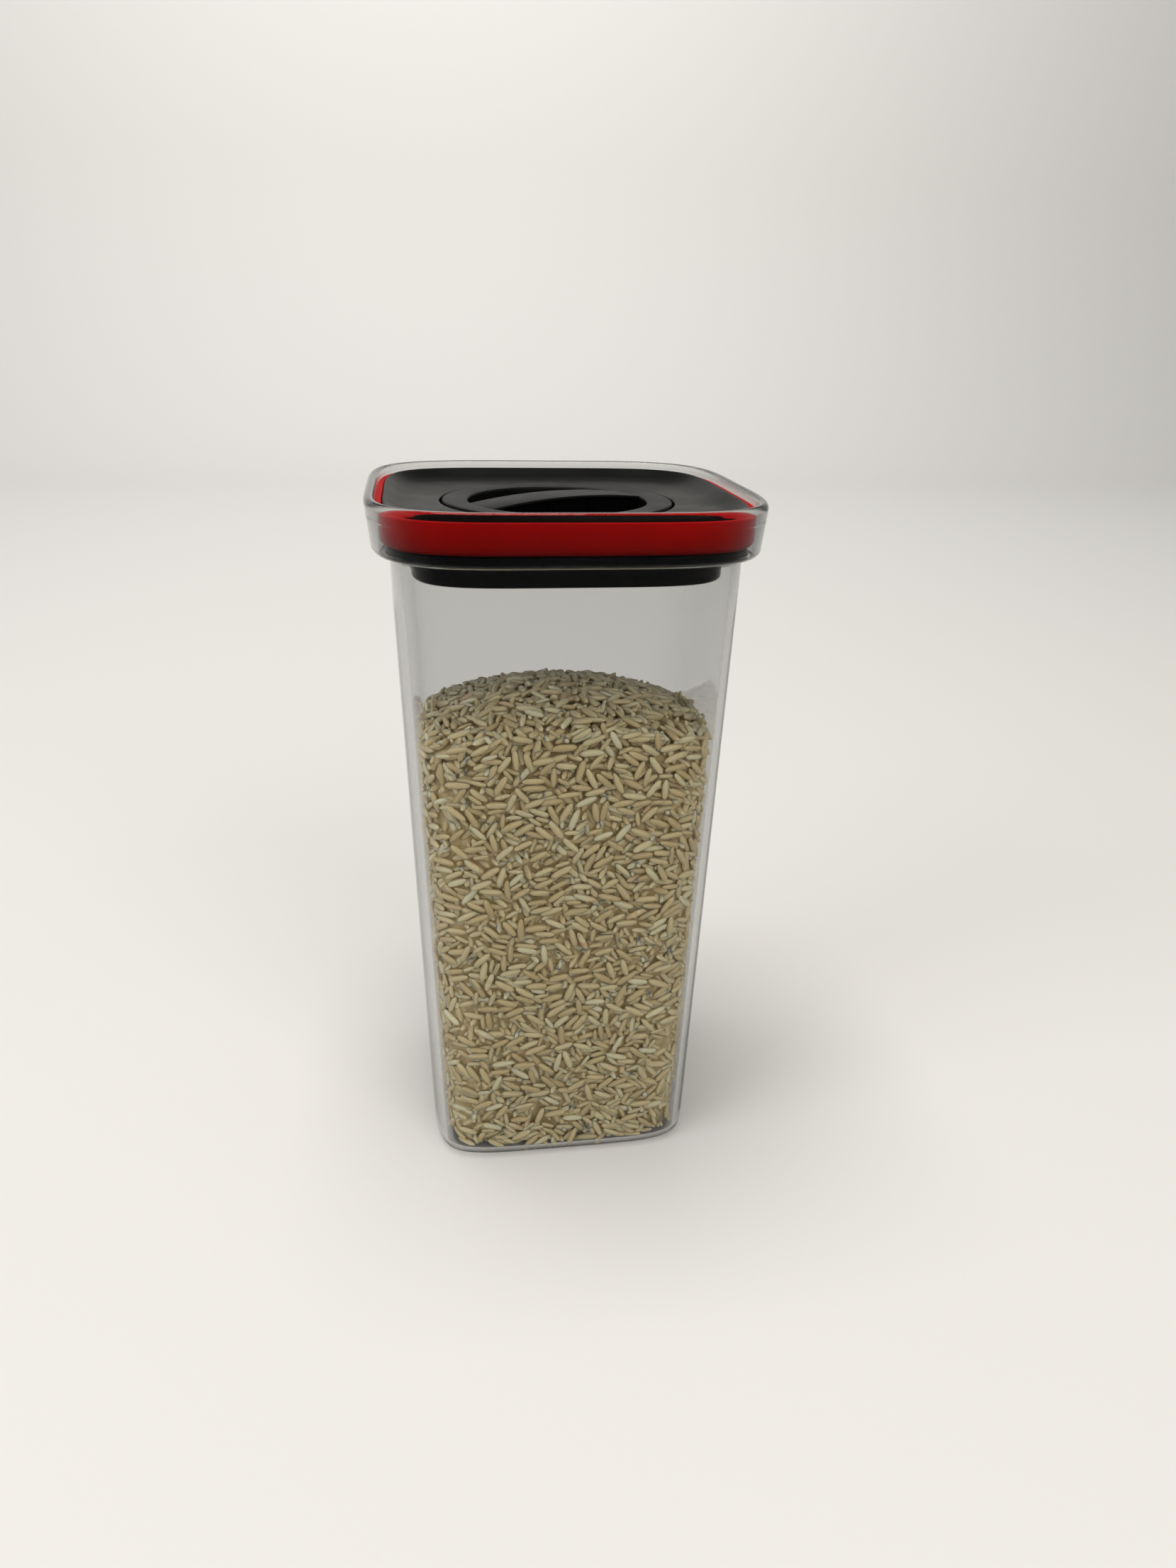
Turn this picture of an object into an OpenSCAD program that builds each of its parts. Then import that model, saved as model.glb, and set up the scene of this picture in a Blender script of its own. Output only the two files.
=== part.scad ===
// Food canister: a clear, square, tapered jar with a black twist-to-seal lid and a red gasket.
// Turning the dial a quarter turn runs its cam pins up helical grooves in the pressure plate's
// socket ring. The cover rises, the gasket relaxes, and the lid lifts out of the collar.
// Frame: origin at the centre of the base, +Z up, front towards -Y, millimetres.

/* [Canister] */
// Overall height, base to rim
canister_h = 200; // [150:1:280]
// Width of the neck below the collar, across the flats
neck_w = 93.8; // [90:0.2:110]
// Squareness of the outline: 2 is a circle, larger is squarer
squareness = 4.75; // [4:0.05:6]
// Draft of the body wall, in degrees
body_draft = 2.04; // [0.5:0.02:2.2]
// Thickness of the body wall
body_wall = 2; // [1.5:0.1:2.6]
// Thickness of the base
base_t = 1.6; // [1.2:0.1:4]
// Radius of the edge round the foot
foot_r = 4.5; // [2:0.1:6]

/* [Collar] */
// How far the rim stands out from the neck
rim_out = 5.85; // [5.4:0.05:7]
// Thickness of the collar wall at the rim
collar_wall = 2.8; // [2.2:0.1:3.2]
// Depth of the lid's pocket, from the rim to the ledge
pocket_depth = 13; // [12:0.1:16]
// How far the collar's outer face leans in, from rim to shoulder
collar_lean = 1.15; // [0.4:0.05:1.4]
// How far the pocket's wall leans in, from rim to ledge
pocket_lean = 0.3; // [0.1:0.05:0.6]
// Height of the rounded shoulder under the collar
shoulder_h = 2.2; // [1.8:0.1:4]

/* [Rice] */
// Height of the mound's crest
rice_crest = 144.8; // [60:0.2:150]
// How far the crest lies in front of the middle
rice_forward = 14; // [0:1:20]
// Fall of the mound from its crest to the front wall
rice_front_fall = 2; // [0:0.5:8]
// Fall of the mound from its crest to the back wall
rice_back_fall = 15; // [2:0.5:20]
// Fall of the mound from its middle to the side walls
rice_side_fall = 9; // [0:0.5:12]
// Depth of the relief that the outermost grains make
grain_relief = 1.8; // [0.4:0.1:2.5]
// Distance between those grains
grain_pitch = 9; // [8.5:0.1:14]

/* [Pressure plate] */
// Thickness of the flange that sits on the ledge
flange_t = 2; // [1.6:0.1:2.6]
// Clearance between the flange and the pocket's wall
flange_gap = 1.35; // [0.8:0.05:1.6]
// Clearance between the plug below the flange and the body's wall
plug_gap = 2.7; // [2:0.1:4]
// Squareness of the plug's outline
plug_squareness = 4.7; // [4:0.05:6]
// Depth of the plug below the ledge
plug_depth = 7; // [6:0.1:9]
// Thickness of the plug's wall
plug_wall = 1.6; // [1.2:0.1:1.8]
// Thickness of the plug's floor
plug_floor = 1.8; // [1.6:0.1:2.4]

/* [Gasket] */
// Clearance between the gasket and the pocket's wall
seal_gap = 0.25; // [0.2:0.05:0.5]
// Thickness of the lip that stands up beside the cover's edge
lip_t = 1.25; // [1:0.05:1.6]
// Radius of the gasket's lower outer edge
gasket_r = 2.7; // [1.5:0.1:3]

/* [Cover] */
// How far the cover's edge lies below the rim
cover_drop = 1.8; // [1.4:0.1:2.4]
// Thickness of the cover's edge
edge_t = 2; // [1.6:0.1:2.6]
// Width of the sloping band round the dish
band_w = 6.5; // [4:0.1:7]
// Drop of the sloping band
band_drop = 2.3; // [1.5:0.1:2.5]
// How far the skirt stands in from the cover's edge
skirt_in = 4.4; // [4:0.1:5]
// Depth of the dish, from the cover's edge to the dial's ring
dish_depth = 3; // [2.6:0.1:3.6]
// Thickness of the cover's walls
cover_t = 1.8; // [1.4:0.1:2]

/* [Dial] */
// Radius of the dial's ring
dial_r = 32.1; // [30:0.1:32.6]
// Width of the ring, from its edge to the bowl
ring_w = 7.1; // [6.6:0.1:8]
// Thickness of the ring
ring_t = 2.65; // [2.2:0.05:3]
// How far the ring stands above the cover round it
dial_proud = 0.4; // [0.2:0.1:0.8]
// Width of the open line round the dial's ring
dial_gap = 0.7; // [0.5:0.05:1]
// Width of the grip bar
bar_w = 12; // [10:0.5:15]
// How far the middle of the grip bar rises above the ring
bar_crown = 1.7; // [0.8:0.1:2.4]
// Angle of the grip bar from +X when sealed, in degrees
bar_angle = 28; // [0:1:90]
// Spacing of the ribs on the bar's sides
rib_pitch = 2; // [1.6:0.1:3]
// Radius of a rib
rib_r = 0.55; // [0.4:0.05:0.7]

/* [Cam drive] */
// Rise of the cover over the dial's turn
seal_travel = 3; // [2:0.1:3]
// Turn of the dial from sealed to free, in degrees
dial_sweep = 90; // [60:1:90]
// Radius of a cam pin
pin_r = 1.5; // [1.2:0.1:1.6]
// Number of cam pins and grooves
cam_count = 3; // [2:1:3]
// Radius of a socket screw's shank
screw_r = 1.25; // [1:0.05:1.5]

/* [Fits] */
// Radial clearance of the dial's cup in its bearing collar
bearing_fit = 0.1; // [0.05:0.01:0.15]
// Clearance between pieces that seat on each other
seat_gap = 0.2; // [0.1:0.05:0.3]
// Clearance between pieces that move past each other
running_gap = 0.4; // [0.3:0.05:0.5]

/* [Hidden] */
$fn = 96;

clear_plastic = [0.86, 0.86, 0.84, 0.35];
rice_white = [0.84, 0.80, 0.68];
satin_black = [0.10, 0.10, 0.10];
deep_black = [0.04, 0.04, 0.05];
seal_red = [0.62, 0.08, 0.06];
white_acetal = [0.90, 0.90, 0.88];
steel = [0.70, 0.70, 0.72];

// Points round one outline, and steps in one rounded edge
outline_points = 64;
edge_steps = 4;
// Cuts run past the faces they open by this much
cut = 1;
// Pieces of one moulding run into each other by this much
fuse = 0.3;

// Heights, from the rim down
neck_half = neck_w / 2;
ledge_z = canister_h - pocket_depth;
// Inside, the foot's edge follows the outside at the thickness of the walls
inner_foot_r = max(1, foot_r - (body_wall + base_t) / 2);
cover_z = canister_h - cover_drop;
dial_seat_z = cover_z - dish_depth;

// Offsets from the neck's outline, outwards positive
rim_r = collar_wall / 2;
pocket_top = rim_out - collar_wall;
pocket_off = pocket_top - pocket_lean;
collar_off = rim_out - collar_lean;
fillet_ledge = 1;
shoulder_z = ledge_z + fillet_ledge;
flange_off = pocket_off - flange_gap;
gasket_off = pocket_off - seal_gap;
cover_off = gasket_off - lip_t - seat_gap;

// Pressure plate
flange_z = ledge_z + seat_gap;
flange_top = flange_z + flange_t;
plug_z = ledge_z - plug_depth;
tray_z = plug_z + plug_floor;
plug_half = neck_half - body_wall - plug_gap;
tray_half = plug_half - plug_wall;

// Cover
edge_under = cover_z - edge_t;
skirt_off = cover_off - skirt_in;
skirt_z = flange_top + running_gap;

// Dial and its bearing
dial_top = dial_seat_z + dial_proud;
ring_under = dial_top - ring_t;
washer_t = 0.6;
thin_gap = 0.05;
seat_z = ring_under - washer_t - 2 * thin_gap;
well_r = dial_r + dial_gap;
flat_off = well_r + cover_t + fuse - neck_half;
dish_run = cover_off - flat_off;
cup_wall = 3;
bowl_r = dial_r - ring_w;
cup_r = bowl_r + cup_wall;
bore_r = cup_r + bearing_fit;
collar_r = bore_r + cover_t;
cup_z = tray_z + 2 * running_gap;
pin_z = cup_z + pin_r + running_gap;
bowl_z = cup_z + 1.8;
snap_t = 1;
snap_depth = 0.8;
snap_z = pin_z + pin_r + running_gap + 2 * seat_gap;
collar_z = snap_z + snap_t + seat_gap;

// Socket ring
socket_r = collar_r + running_gap + seat_gap;
pin_end = socket_r + 2;
groove_r = pin_end + running_gap;
socket_out = groove_r + 1.3;
socket_z = tray_z + thin_gap;
socket_top = seat_z - cover_t - 2 * running_gap;
groove_half = pin_r + 0.3;
entry_turn = dial_sweep + 8;
boss_h = 2;
ear_t = 2;
ear_r = 3.4;
ear_at = socket_out + ear_r;
ear_z = tray_z + boss_h + thin_gap;

// Guide fins on the cover, between rails in the plug
fin_w = 12;
fin_t = 1.6;
fin_at = tray_half - running_gap - fin_t;
fin_z = tray_z + 7 * running_gap;
rail_w = 2;
rail_top = flange_top - seat_gap;

// ---- Outlines and skins ----

// Point of a superellipse at parameter t
function super_point(half, n, t) = [
  half * sign(cos(t)) * pow(abs(cos(t)), 2 / n),
  half * sign(sin(t)) * pow(abs(sin(t)), 2 / n)
];

// Outward unit normal of a superellipse at point p
function super_normal(p, n) =
  let (g = [sign(p.x) * pow(abs(p.x), n - 1), sign(p.y) * pow(abs(p.y), n - 1)])
  g / norm(g);

// One level of points: a superellipse moved outwards by off, at height z
function level(off, z, half = neck_half, n = squareness) = [
  for (i = [0 : outline_points - 1])
    let (p = super_point(half, n, 360 * (i + 0.5) / outline_points))
    let (q = p + off * super_normal(p, n))
    [q.x, q.y, z]
];

// The same for a list of [offset, height] pairs
function levels(profile, half = neck_half, n = squareness) = [
  for (s = profile) level(s[0], s[1], half, n)
];

// Profile points on an elliptical arc, from one angle to another
function arc(off, z, r_off, r_z, from, to, steps = edge_steps) = [
  for (i = [0 : steps])
    let (t = from + (to - from) * i / steps)
    [off + r_off * cos(t), z + r_z * sin(t)]
];

// Closed solid through levels that go up the outside and, on a hollow piece, down the inside.
// A looped skin joins its last level to its first, and needs no caps.
module skin(rings, looped = false) {
  n = len(rings[0]);
  m = len(rings);
  spans = looped ? m - 1 : m - 2;
  walls = [
    for (j = [0 : spans], i = [0 : n - 1])
      let (a = j * n + i, b = j * n + (i + 1) % n)
      let (c = ((j + 1) % m) * n + (i + 1) % n, d = ((j + 1) % m) * n + i)
      each [[a, c, b], [a, d, c]]
  ];
  caps = looped ? [] : [[for (i = [0 : n - 1]) i], [for (i = [n - 1 : -1 : 0]) (m - 1) * n + i]];
  polyhedron(points = [for (r = rings) each r], faces = concat(walls, caps), convexity = 6);
}

// ---- Canister ----

// Offset of the body's outer face at height z
function body_off(z) = -(ledge_z - z) * tan(body_draft);

module canister() {
  neck_z = ledge_z + fillet_ledge - shoulder_h;
  rim_z = canister_h - rim_r;
  foot_off = body_off(foot_r);
  inside = foot_off - body_wall;
  profile = concat(
    arc(foot_off - foot_r, foot_r, foot_r, foot_r, -90, 0),
    [[body_off(neck_z - 1), neck_z - 1]],
    [[0.15, neck_z - 0.3]],
    arc(0.6, shoulder_z, collar_off - 0.6, shoulder_h, -90, 0, 5),
    arc(rim_out - rim_r, rim_z, rim_r, rim_r, 0, 180, 8),
    arc(pocket_off - fillet_ledge, shoulder_z, fillet_ledge, fillet_ledge, 0, -90, 3),
    [[0.4 - body_wall, ledge_z]],
    [[-body_wall, ledge_z - 0.4]],
    arc(inside - inner_foot_r, base_t + inner_foot_r, inner_foot_r, inner_foot_r, 0, -90)
  );
  color(clear_plastic) skin(levels(profile));
}

// ---- Rice ----

// Height of the mound above a point, where the walls are half away from the middle
function mound_z(x, y, half) =
  let (back = y + rice_forward)
  let (fall = back < 0 ? rice_front_fall : rice_back_fall)
  let (reach = half + (back < 0 ? -rice_forward : rice_forward))
  rice_crest - rice_side_fall * pow(x / half, 2) - fall * pow(back / reach, 2);

// Point of a superellipse in direction t, which spaces points evenly enough for the grains
function facing_point(half, n, t) =
  let (r = half / pow(pow(abs(cos(t)), n) + pow(abs(sin(t)), n), 1 / n))
  [r * cos(t), r * sin(t)];

// The rice stands clear of the jar all round. Every other point of its skin is the back of a
// grain, and the points between are the hollows, each a little deeper or shallower than the next.
module rice_fill() {
  gap = 0.3;
  low_z = base_t + gap;
  wall_gap = body_wall + gap;
  foot_z = low_z + inner_foot_r;
  points = 4 * round(PI * neck_w * 1.1 / (grain_pitch / 2) / 4);
  rows = round((rice_crest - foot_z) / (0.8 * grain_pitch));
  draw = rands(0, 1, points * (rows + 8), 5);
  function dent(i, j) = grain_relief * ((i + j) % 2 == 0 ? 0.2 : 0.6 + 0.4 * draw[i + points * j]);
  function spot(i, z, inset) =
    let (p = facing_point(neck_half, squareness, 360 * (i + 0.5) / points))
    p + (body_off(z) - wall_gap - inset) * super_normal(p, squareness);
  function top_z(i) = let (p = spot(i, rice_crest, 0)) mound_z(p.x, p.y, neck_half - wall_gap);
  function foot_ring(t) = [
    for (i = [0 : points - 1])
      let (z = low_z + inner_foot_r * (1 - cos(t)), p = spot(i, foot_z, inner_foot_r * (1 - sin(t))))
      [p.x, p.y, z]
  ];
  function wall_ring(j) = [
    for (i = [0 : points - 1])
      let (z = foot_z + (top_z(i) - grain_relief - foot_z) * j / rows, p = spot(i, z, dent(i, j)))
      [p.x, p.y, z]
  ];
  function mound_ring(share, j) = [
    for (i = [0 : points - 1])
      let (p = share * spot(i, top_z(i), grain_relief / 2))
      [p.x, p.y, mound_z(p.x, p.y, neck_half - wall_gap) - (share > 0.2 ? dent(i, j) / 2 : 0)]
  ];
  shares = [0.96, 0.8, 0.64, 0.48, 0.32, 0.1];
  color(rice_white) skin(concat(
    [for (t = [0, 45]) foot_ring(t)],
    [for (j = [0 : rows]) wall_ring(j)],
    [for (k = [0 : len(shares) - 1]) mound_ring(shares[k], rows + 1 + k)]
  ));
}

// ---- Pressure plate ----

// Copies for the four flat sides
module each_side() {
  for (turn = [0 : 90 : 270]) rotate([0, 0, turn]) children();
}

// Copies at the four corners, at radius r
module each_corner(r) {
  for (turn = [45 : 90 : 315]) rotate([0, 0, turn]) translate([r, 0, 0]) children();
}

module pressure_plate() {
  round_r = 0.8;
  toe_r = 1.2;
  plug = levels(arc(-toe_r, plug_z + toe_r, toe_r, toe_r, -90, 0, 3), plug_half, plug_squareness);
  flange = levels(concat(
    [[flange_off - round_r, flange_z]],
    arc(flange_off - round_r, flange_top - round_r, round_r, round_r, 0, 90, 3)
  ));
  tray = levels([[-plug_wall, flange_top], [-plug_wall, tray_z]], plug_half, plug_squareness);
  neck = [level(0, flange_z, plug_half, plug_squareness)];
  color(deep_black) difference() {
    union() {
      skin(concat(plug, neck, flange, tray));
      each_side() rails();
      each_corner(ear_at) translate([0, 0, tray_z - fuse]) cylinder(r = ear_r, h = boss_h + fuse);
    }
    each_corner(ear_at) translate([0, 0, tray_z - 1]) cylinder(r = screw_r, h = boss_h + 1 + cut);
  }
}

// Two rails that keep a guide fin from turning
module rails() {
  start = fin_w / 2 + seat_gap;
  for (side = [-1, 1])
    translate([fin_at, side > 0 ? start : -start - rail_w, tray_z - fuse])
      cube([tray_half - fin_at + fuse, rail_w, rail_top - tray_z + fuse]);
}

// ---- Cam drive ----

// Cutter for one helical groove with its entry slot from above
module cam_groove() {
  steps = 24;
  inner = socket_r - cut;
  flat_turn = entry_turn - dial_sweep;
  lead_in = -pin_r * 360 / (2 * PI * socket_r) - 2;
  turns = [
    lead_in,
    for (i = [0 : steps]) dial_sweep * i / steps,
    dial_sweep + flat_turn - lead_in
  ];
  function height(t) = pin_z + seal_travel * min(max(t, 0), dial_sweep) / dial_sweep;
  sections = [
    for (t = turns) [
      for (c = [[inner, -1], [inner, 1], [groove_r, 1], [groove_r, -1]])
        [c[0] * cos(t), c[0] * sin(t), height(t) + c[1] * groove_half]
    ]
  ];
  skin(sections);
}

module cam_socket() {
  color(satin_black) difference() {
    union() {
      translate([0, 0, socket_z]) cylinder(r = socket_out, h = socket_top - socket_z);
      each_corner(ear_at) translate([0, 0, ear_z]) cylinder(r = ear_r, h = ear_t);
      each_corner(0) translate([socket_out - 1, -ear_r, ear_z]) cube([ear_at - socket_out + 1, 2 * ear_r, ear_t]);
    }
    translate([0, 0, socket_z - cut]) cylinder(r = socket_r, h = socket_top - socket_z + 2 * cut);
    each_corner(ear_at) translate([0, 0, ear_z - cut]) cylinder(r = screw_r + 0.15, h = ear_t + 2 * cut);
    for (turn = [0 : 360 / cam_count : 359]) rotate([0, 0, turn]) {
      cam_groove();
      rotate([0, 0, entry_turn]) translate([socket_r - cut, -groove_half, pin_z + seal_travel])
        cube([groove_r - socket_r + cut, 2 * groove_half, canister_h]);
    }
  }
}

module socket_screws() {
  head_r = 2.4;
  head_h = 1.5;
  head_z = ear_z + ear_t + thin_gap;
  shank_z = tray_z - 1 + thin_gap;
  color(steel) each_corner(ear_at) difference() {
    union() {
      translate([0, 0, shank_z]) cylinder(r = screw_r - thin_gap, h = head_z - shank_z + fuse);
      translate([0, 0, head_z]) cylinder(r = head_r, h = head_h);
    }
    translate([-head_r, -0.3, head_z + head_h - 0.7]) cube([2 * head_r, 0.6, cut]);
    translate([-0.3, -head_r, head_z + head_h - 0.7]) cube([0.6, 2 * head_r, cut]);
  }
}

module cam_pins() {
  start = bowl_r + 0.6;
  color(steel) for (turn = [0 : 360 / cam_count : 359])
    rotate([0, 0, turn]) translate([start, 0, pin_z]) rotate([0, 90, 0]) cylinder(r = pin_r, h = pin_end - start);
}

// ---- Gasket ----

module gasket() {
  lip_r = lip_t / 2;
  inner = skirt_off + running_gap;
  low_z = flange_top + thin_gap;
  lip_z = cover_z - seat_gap - lip_r;
  shelf_z = edge_under - seat_gap;
  profile = concat(
    [[inner, low_z]],
    arc(gasket_off - gasket_r, low_z + gasket_r, gasket_r, gasket_r, -90, 0),
    arc(gasket_off - lip_r, lip_z, lip_r, lip_r, 0, 180, 6),
    [[gasket_off - lip_t, shelf_z], [inner, shelf_z]]
  );
  color(seal_red) skin(levels(profile), looped = true);
}

// ---- Cover ----

// Height of the dish at an offset: a rounded band inside the edge, then an even fall to the dial
function dish_z(off, edge_r) =
  let (run = cover_off - edge_r - off)
  cover_z - band_drop * sin(90 * min(1, run / band_w)) - (dish_depth - band_drop) * min(1, run / dish_run);

module lid_cover() {
  edge_r = 0.6;
  band_steps = 5;
  profile = concat(
    [[flat_off, dial_seat_z - cover_t]],
    [[skirt_off - cover_t, dial_seat_z - cover_t + 0.5]],
    [[skirt_off - cover_t, skirt_z], [skirt_off, skirt_z], [skirt_off, edge_under]],
    [[cover_off - 0.3, edge_under], [cover_off, edge_under + 0.3]],
    arc(cover_off - edge_r, cover_z - edge_r, edge_r, edge_r, 0, 90, 3),
    [for (i = [1 : band_steps])
      let (off = cover_off - edge_r - band_w * i / band_steps)
      [off, dish_z(off, edge_r)]],
    [[flat_off, dial_seat_z]]
  );
  color(satin_black) difference() {
    union() {
      skin(levels(profile));
      translate([0, 0, seat_z - cover_t]) cylinder(r = well_r + cover_t, h = dial_seat_z - seat_z);
      translate([0, 0, collar_z]) cylinder(r = collar_r, h = seat_z - collar_z - fuse);
      each_side() guide_fin();
    }
    translate([0, 0, seat_z]) cylinder(r = well_r, h = canister_h);
    translate([0, 0, collar_z - cut]) cylinder(r = bore_r, h = canister_h);
  }
}

// Fin that slides between two rails of the pressure plate
module guide_fin() {
  translate([fin_at, -fin_w / 2, fin_z]) cube([fin_t, fin_w, dial_seat_z - fin_z]);
}

module glide_washer() {
  color(white_acetal) translate([0, 0, seat_z + thin_gap]) difference() {
    cylinder(r = dial_r - 0.5, h = washer_t);
    translate([0, 0, -cut]) cylinder(r = cup_r + running_gap, h = washer_t + 2 * cut);
  }
}

// ---- Dial ----

module dial() {
  edge_r = 0.6;
  floor_r = 2;
  groove_in = cup_r - snap_depth;
  cup = concat(
    [[0, cup_z], [cup_r - 0.5, cup_z], [cup_r, cup_z + 0.5]],
    [[cup_r, snap_z - thin_gap], [groove_in, snap_z - thin_gap]],
    [[groove_in, snap_z + snap_t + thin_gap], [cup_r, snap_z + snap_t + thin_gap]],
    [[cup_r, ring_under], [dial_r - 0.3, ring_under], [dial_r, ring_under + 0.3]],
    arc(dial_r - edge_r, dial_top - edge_r, edge_r, edge_r, 0, 90),
    arc(bowl_r + edge_r, dial_top - edge_r - 0.2, edge_r, edge_r, 90, 180),
    arc(bowl_r - floor_r, bowl_z + floor_r, floor_r, floor_r, 0, -90),
    [[0, bowl_z]]
  );
  color(satin_black) difference() {
    union() {
      rotate_extrude() polygon(cup);
      rotate([0, 0, bar_angle]) grip_bar();
    }
    for (turn = [0 : 360 / cam_count : 359])
      rotate([0, 0, turn]) translate([bowl_r + 0.6, 0, pin_z]) rotate([0, 90, 0])
        cylinder(r = pin_r, h = cup_wall);
  }
}

// Bar across the bowl: crowned along its length, rounded on top, ribbed on its sides
module grip_bar() {
  reach = bowl_r + 1.5;
  crown_z = dial_top + bar_crown;
  end_z = dial_top - 0.25;
  top_r = 2;
  rib_top = end_z - 1.6;
  rib_count = floor((bowl_r - 5) / rib_pitch);
  crown = [for (i = [0 : 16]) let (x = reach * (1 - i / 8)) [x, end_z + bar_crown * (1 - pow(x / reach, 2))]];
  intersection() {
    translate([0, bar_w / 2, 0]) rotate([90, 0, 0]) linear_extrude(bar_w)
      polygon(concat([[-reach, bowl_z - fuse], [reach, bowl_z - fuse]], crown));
    rotate([90, 0, 90]) translate([0, 0, -reach]) linear_extrude(2 * reach) polygon(concat(
      [[-bar_w / 2, bowl_z - fuse], [bar_w / 2, bowl_z - fuse]],
      arc(bar_w / 2 - top_r, crown_z - 1.2 * top_r, top_r, top_r, 0, 75),
      arc(top_r - bar_w / 2, crown_z - 1.2 * top_r, top_r, top_r, 105, 180)
    ));
    cylinder(r = reach, h = canister_h);
  }
  for (side = [-1, 1], i = [-rib_count : rib_count])
    translate([i * rib_pitch, side * bar_w / 2, bowl_z - fuse]) cylinder(r = rib_r, h = rib_top - bowl_z + fuse, $fn = 24);
}

module retaining_ring() {
  opening = 16;
  color(steel) translate([0, 0, snap_z]) rotate([0, 0, 90 + opening / 2]) rotate_extrude(angle = 360 - opening)
    translate([cup_r - snap_depth + thin_gap, 0]) square([collar_r - cup_r + snap_depth - 0.3, snap_t]);
}

canister();
rice_fill();
pressure_plate();
cam_socket();
socket_screws();
gasket();
lid_cover();
glide_washer();
dial();
cam_pins();
retaining_ring();
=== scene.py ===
"""Looks of a food canister: a clear square jar of rice under a black twist-to-seal lid.

Every length in the classes below is in millimetres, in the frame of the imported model: the origin
is at the centre of the base, +Z is up and the front is towards -Y. Meshes are made in metres. An
offset says how far a ring stands outside the outline that it follows.
"""

import logging
import math
from collections.abc import Callable, Sequence
from dataclasses import dataclass, field
from enum import Enum

import bmesh
import bpy
import numpy as np
from mathutils import Euler, Matrix, Vector


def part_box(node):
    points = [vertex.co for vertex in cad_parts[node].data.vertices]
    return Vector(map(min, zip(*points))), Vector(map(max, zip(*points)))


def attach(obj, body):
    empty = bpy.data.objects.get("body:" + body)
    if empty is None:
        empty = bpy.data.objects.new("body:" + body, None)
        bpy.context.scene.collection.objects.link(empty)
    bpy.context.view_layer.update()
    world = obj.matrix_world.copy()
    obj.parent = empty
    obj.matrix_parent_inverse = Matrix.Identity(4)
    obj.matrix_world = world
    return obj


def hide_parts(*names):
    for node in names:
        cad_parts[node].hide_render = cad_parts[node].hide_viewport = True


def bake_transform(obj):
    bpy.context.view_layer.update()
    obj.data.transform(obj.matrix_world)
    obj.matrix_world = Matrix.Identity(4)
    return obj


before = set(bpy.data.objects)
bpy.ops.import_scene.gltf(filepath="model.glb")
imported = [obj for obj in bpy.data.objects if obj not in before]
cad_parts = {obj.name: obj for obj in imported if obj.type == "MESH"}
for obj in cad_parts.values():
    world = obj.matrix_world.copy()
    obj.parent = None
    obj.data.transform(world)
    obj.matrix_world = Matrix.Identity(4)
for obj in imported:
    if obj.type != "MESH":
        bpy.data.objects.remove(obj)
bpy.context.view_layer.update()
LOG = logging.getLogger("canister")

MM = 0.001
RING_POINTS = 224
QUARTERS = range(0, 360, 90)

Tree = bpy.types.NodeTree
Node = bpy.types.Node
Socket = bpy.types.NodeSocket
Material = bpy.types.Material
Piece = bpy.types.Object
Point = tuple[float, float, float]
Profile = list[tuple[float, float]]
Ring = np.ndarray
Cells = np.ndarray
Grains = list[tuple[Vector, Vector, float]]


class Body(str, Enum):
    """The moving bodies that pieces ride on."""

    CANISTER = "canister"
    PLATE = "plate"
    COVER = "cover"
    DIAL = "dial"


# ---- Colour and nodes ----

# Most of a noise's values lie in this span.
NOISE_LOW, NOISE_HIGH = 0.3, 0.7
# The colour sockets of a Mix node share their names with others, so they go by number.
MIX_FACTOR, MIX_A, MIX_B, MIX_RESULT = 0, 6, 7, 2
MULTIPLY = {"data_type": "RGBA", "blend_type": "MULTIPLY"}


def srgb(code: str) -> tuple[float, float, float, float]:
    """Turns an sRGB hex colour into linear RGBA.

    Args:
        code: Six hex digits, with or without a leading hash.

    Returns:
        Linear red, green, blue and an alpha of 1.
    """
    raw = [int(code.lstrip("#")[i : i + 2], 16) / 255 for i in (0, 2, 4)]
    linear = [c / 12.92 if c <= 0.04045 else ((c + 0.055) / 1.055) ** 2.4 for c in raw]
    return (*linear, 1.0)


def add(
    tree: Tree, kind: str, /, inputs: dict | None = None, stops: Sequence[tuple[float, str]] = (), **settings
) -> Node:
    """Adds one node with its settings, values and links.

    Args:
        tree: The node tree to add to.
        kind: The node's type name.
        inputs: Socket name or index to a plain value, to the socket that feeds it, or to the node
            whose first output feeds it.
        stops: Position and sRGB hex colour of each stop of a colour ramp, in order.
        **settings: Attributes of the node itself.

    Returns:
        The new node.
    """
    made = tree.nodes.new(kind)
    for name, value in settings.items():
        setattr(made, name, value)
    for name, value in (inputs or {}).items():
        if isinstance(value, Node):
            value = value.outputs[0]
        if isinstance(value, Socket):
            tree.links.new(value, made.inputs[name])
        else:
            made.inputs[name].default_value = value
    if stops:
        elements = made.color_ramp.elements
        while len(elements) < len(stops):
            elements.new(0.5)
        for element, (position, code) in zip(elements, stops):
            element.position, element.color = position, srgb(code)
    return made


def object_place(tree: Tree) -> Socket:
    """Object coordinates, in metres."""
    return add(tree, "ShaderNodeTexCoord").outputs["Object"]


def pattern(place: Socket, feature_mm: float, detail: float = 0.0) -> dict[str, Socket | float]:
    """Inputs of a texture, on coordinates in metres, whose features are feature_mm wide."""
    return {"Vector": place, "Scale": 1 / MM / feature_mm, "Detail": detail}


def span(low: float, high: float, to_low: float = 0.0, to_high: float = 1.0) -> dict[str, float]:
    """Inputs of a Map Range node that takes one span of values to another."""
    return {"From Min": low, "From Max": high, "To Min": to_low, "To Max": to_high}


# ---- Finishes ----


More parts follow.
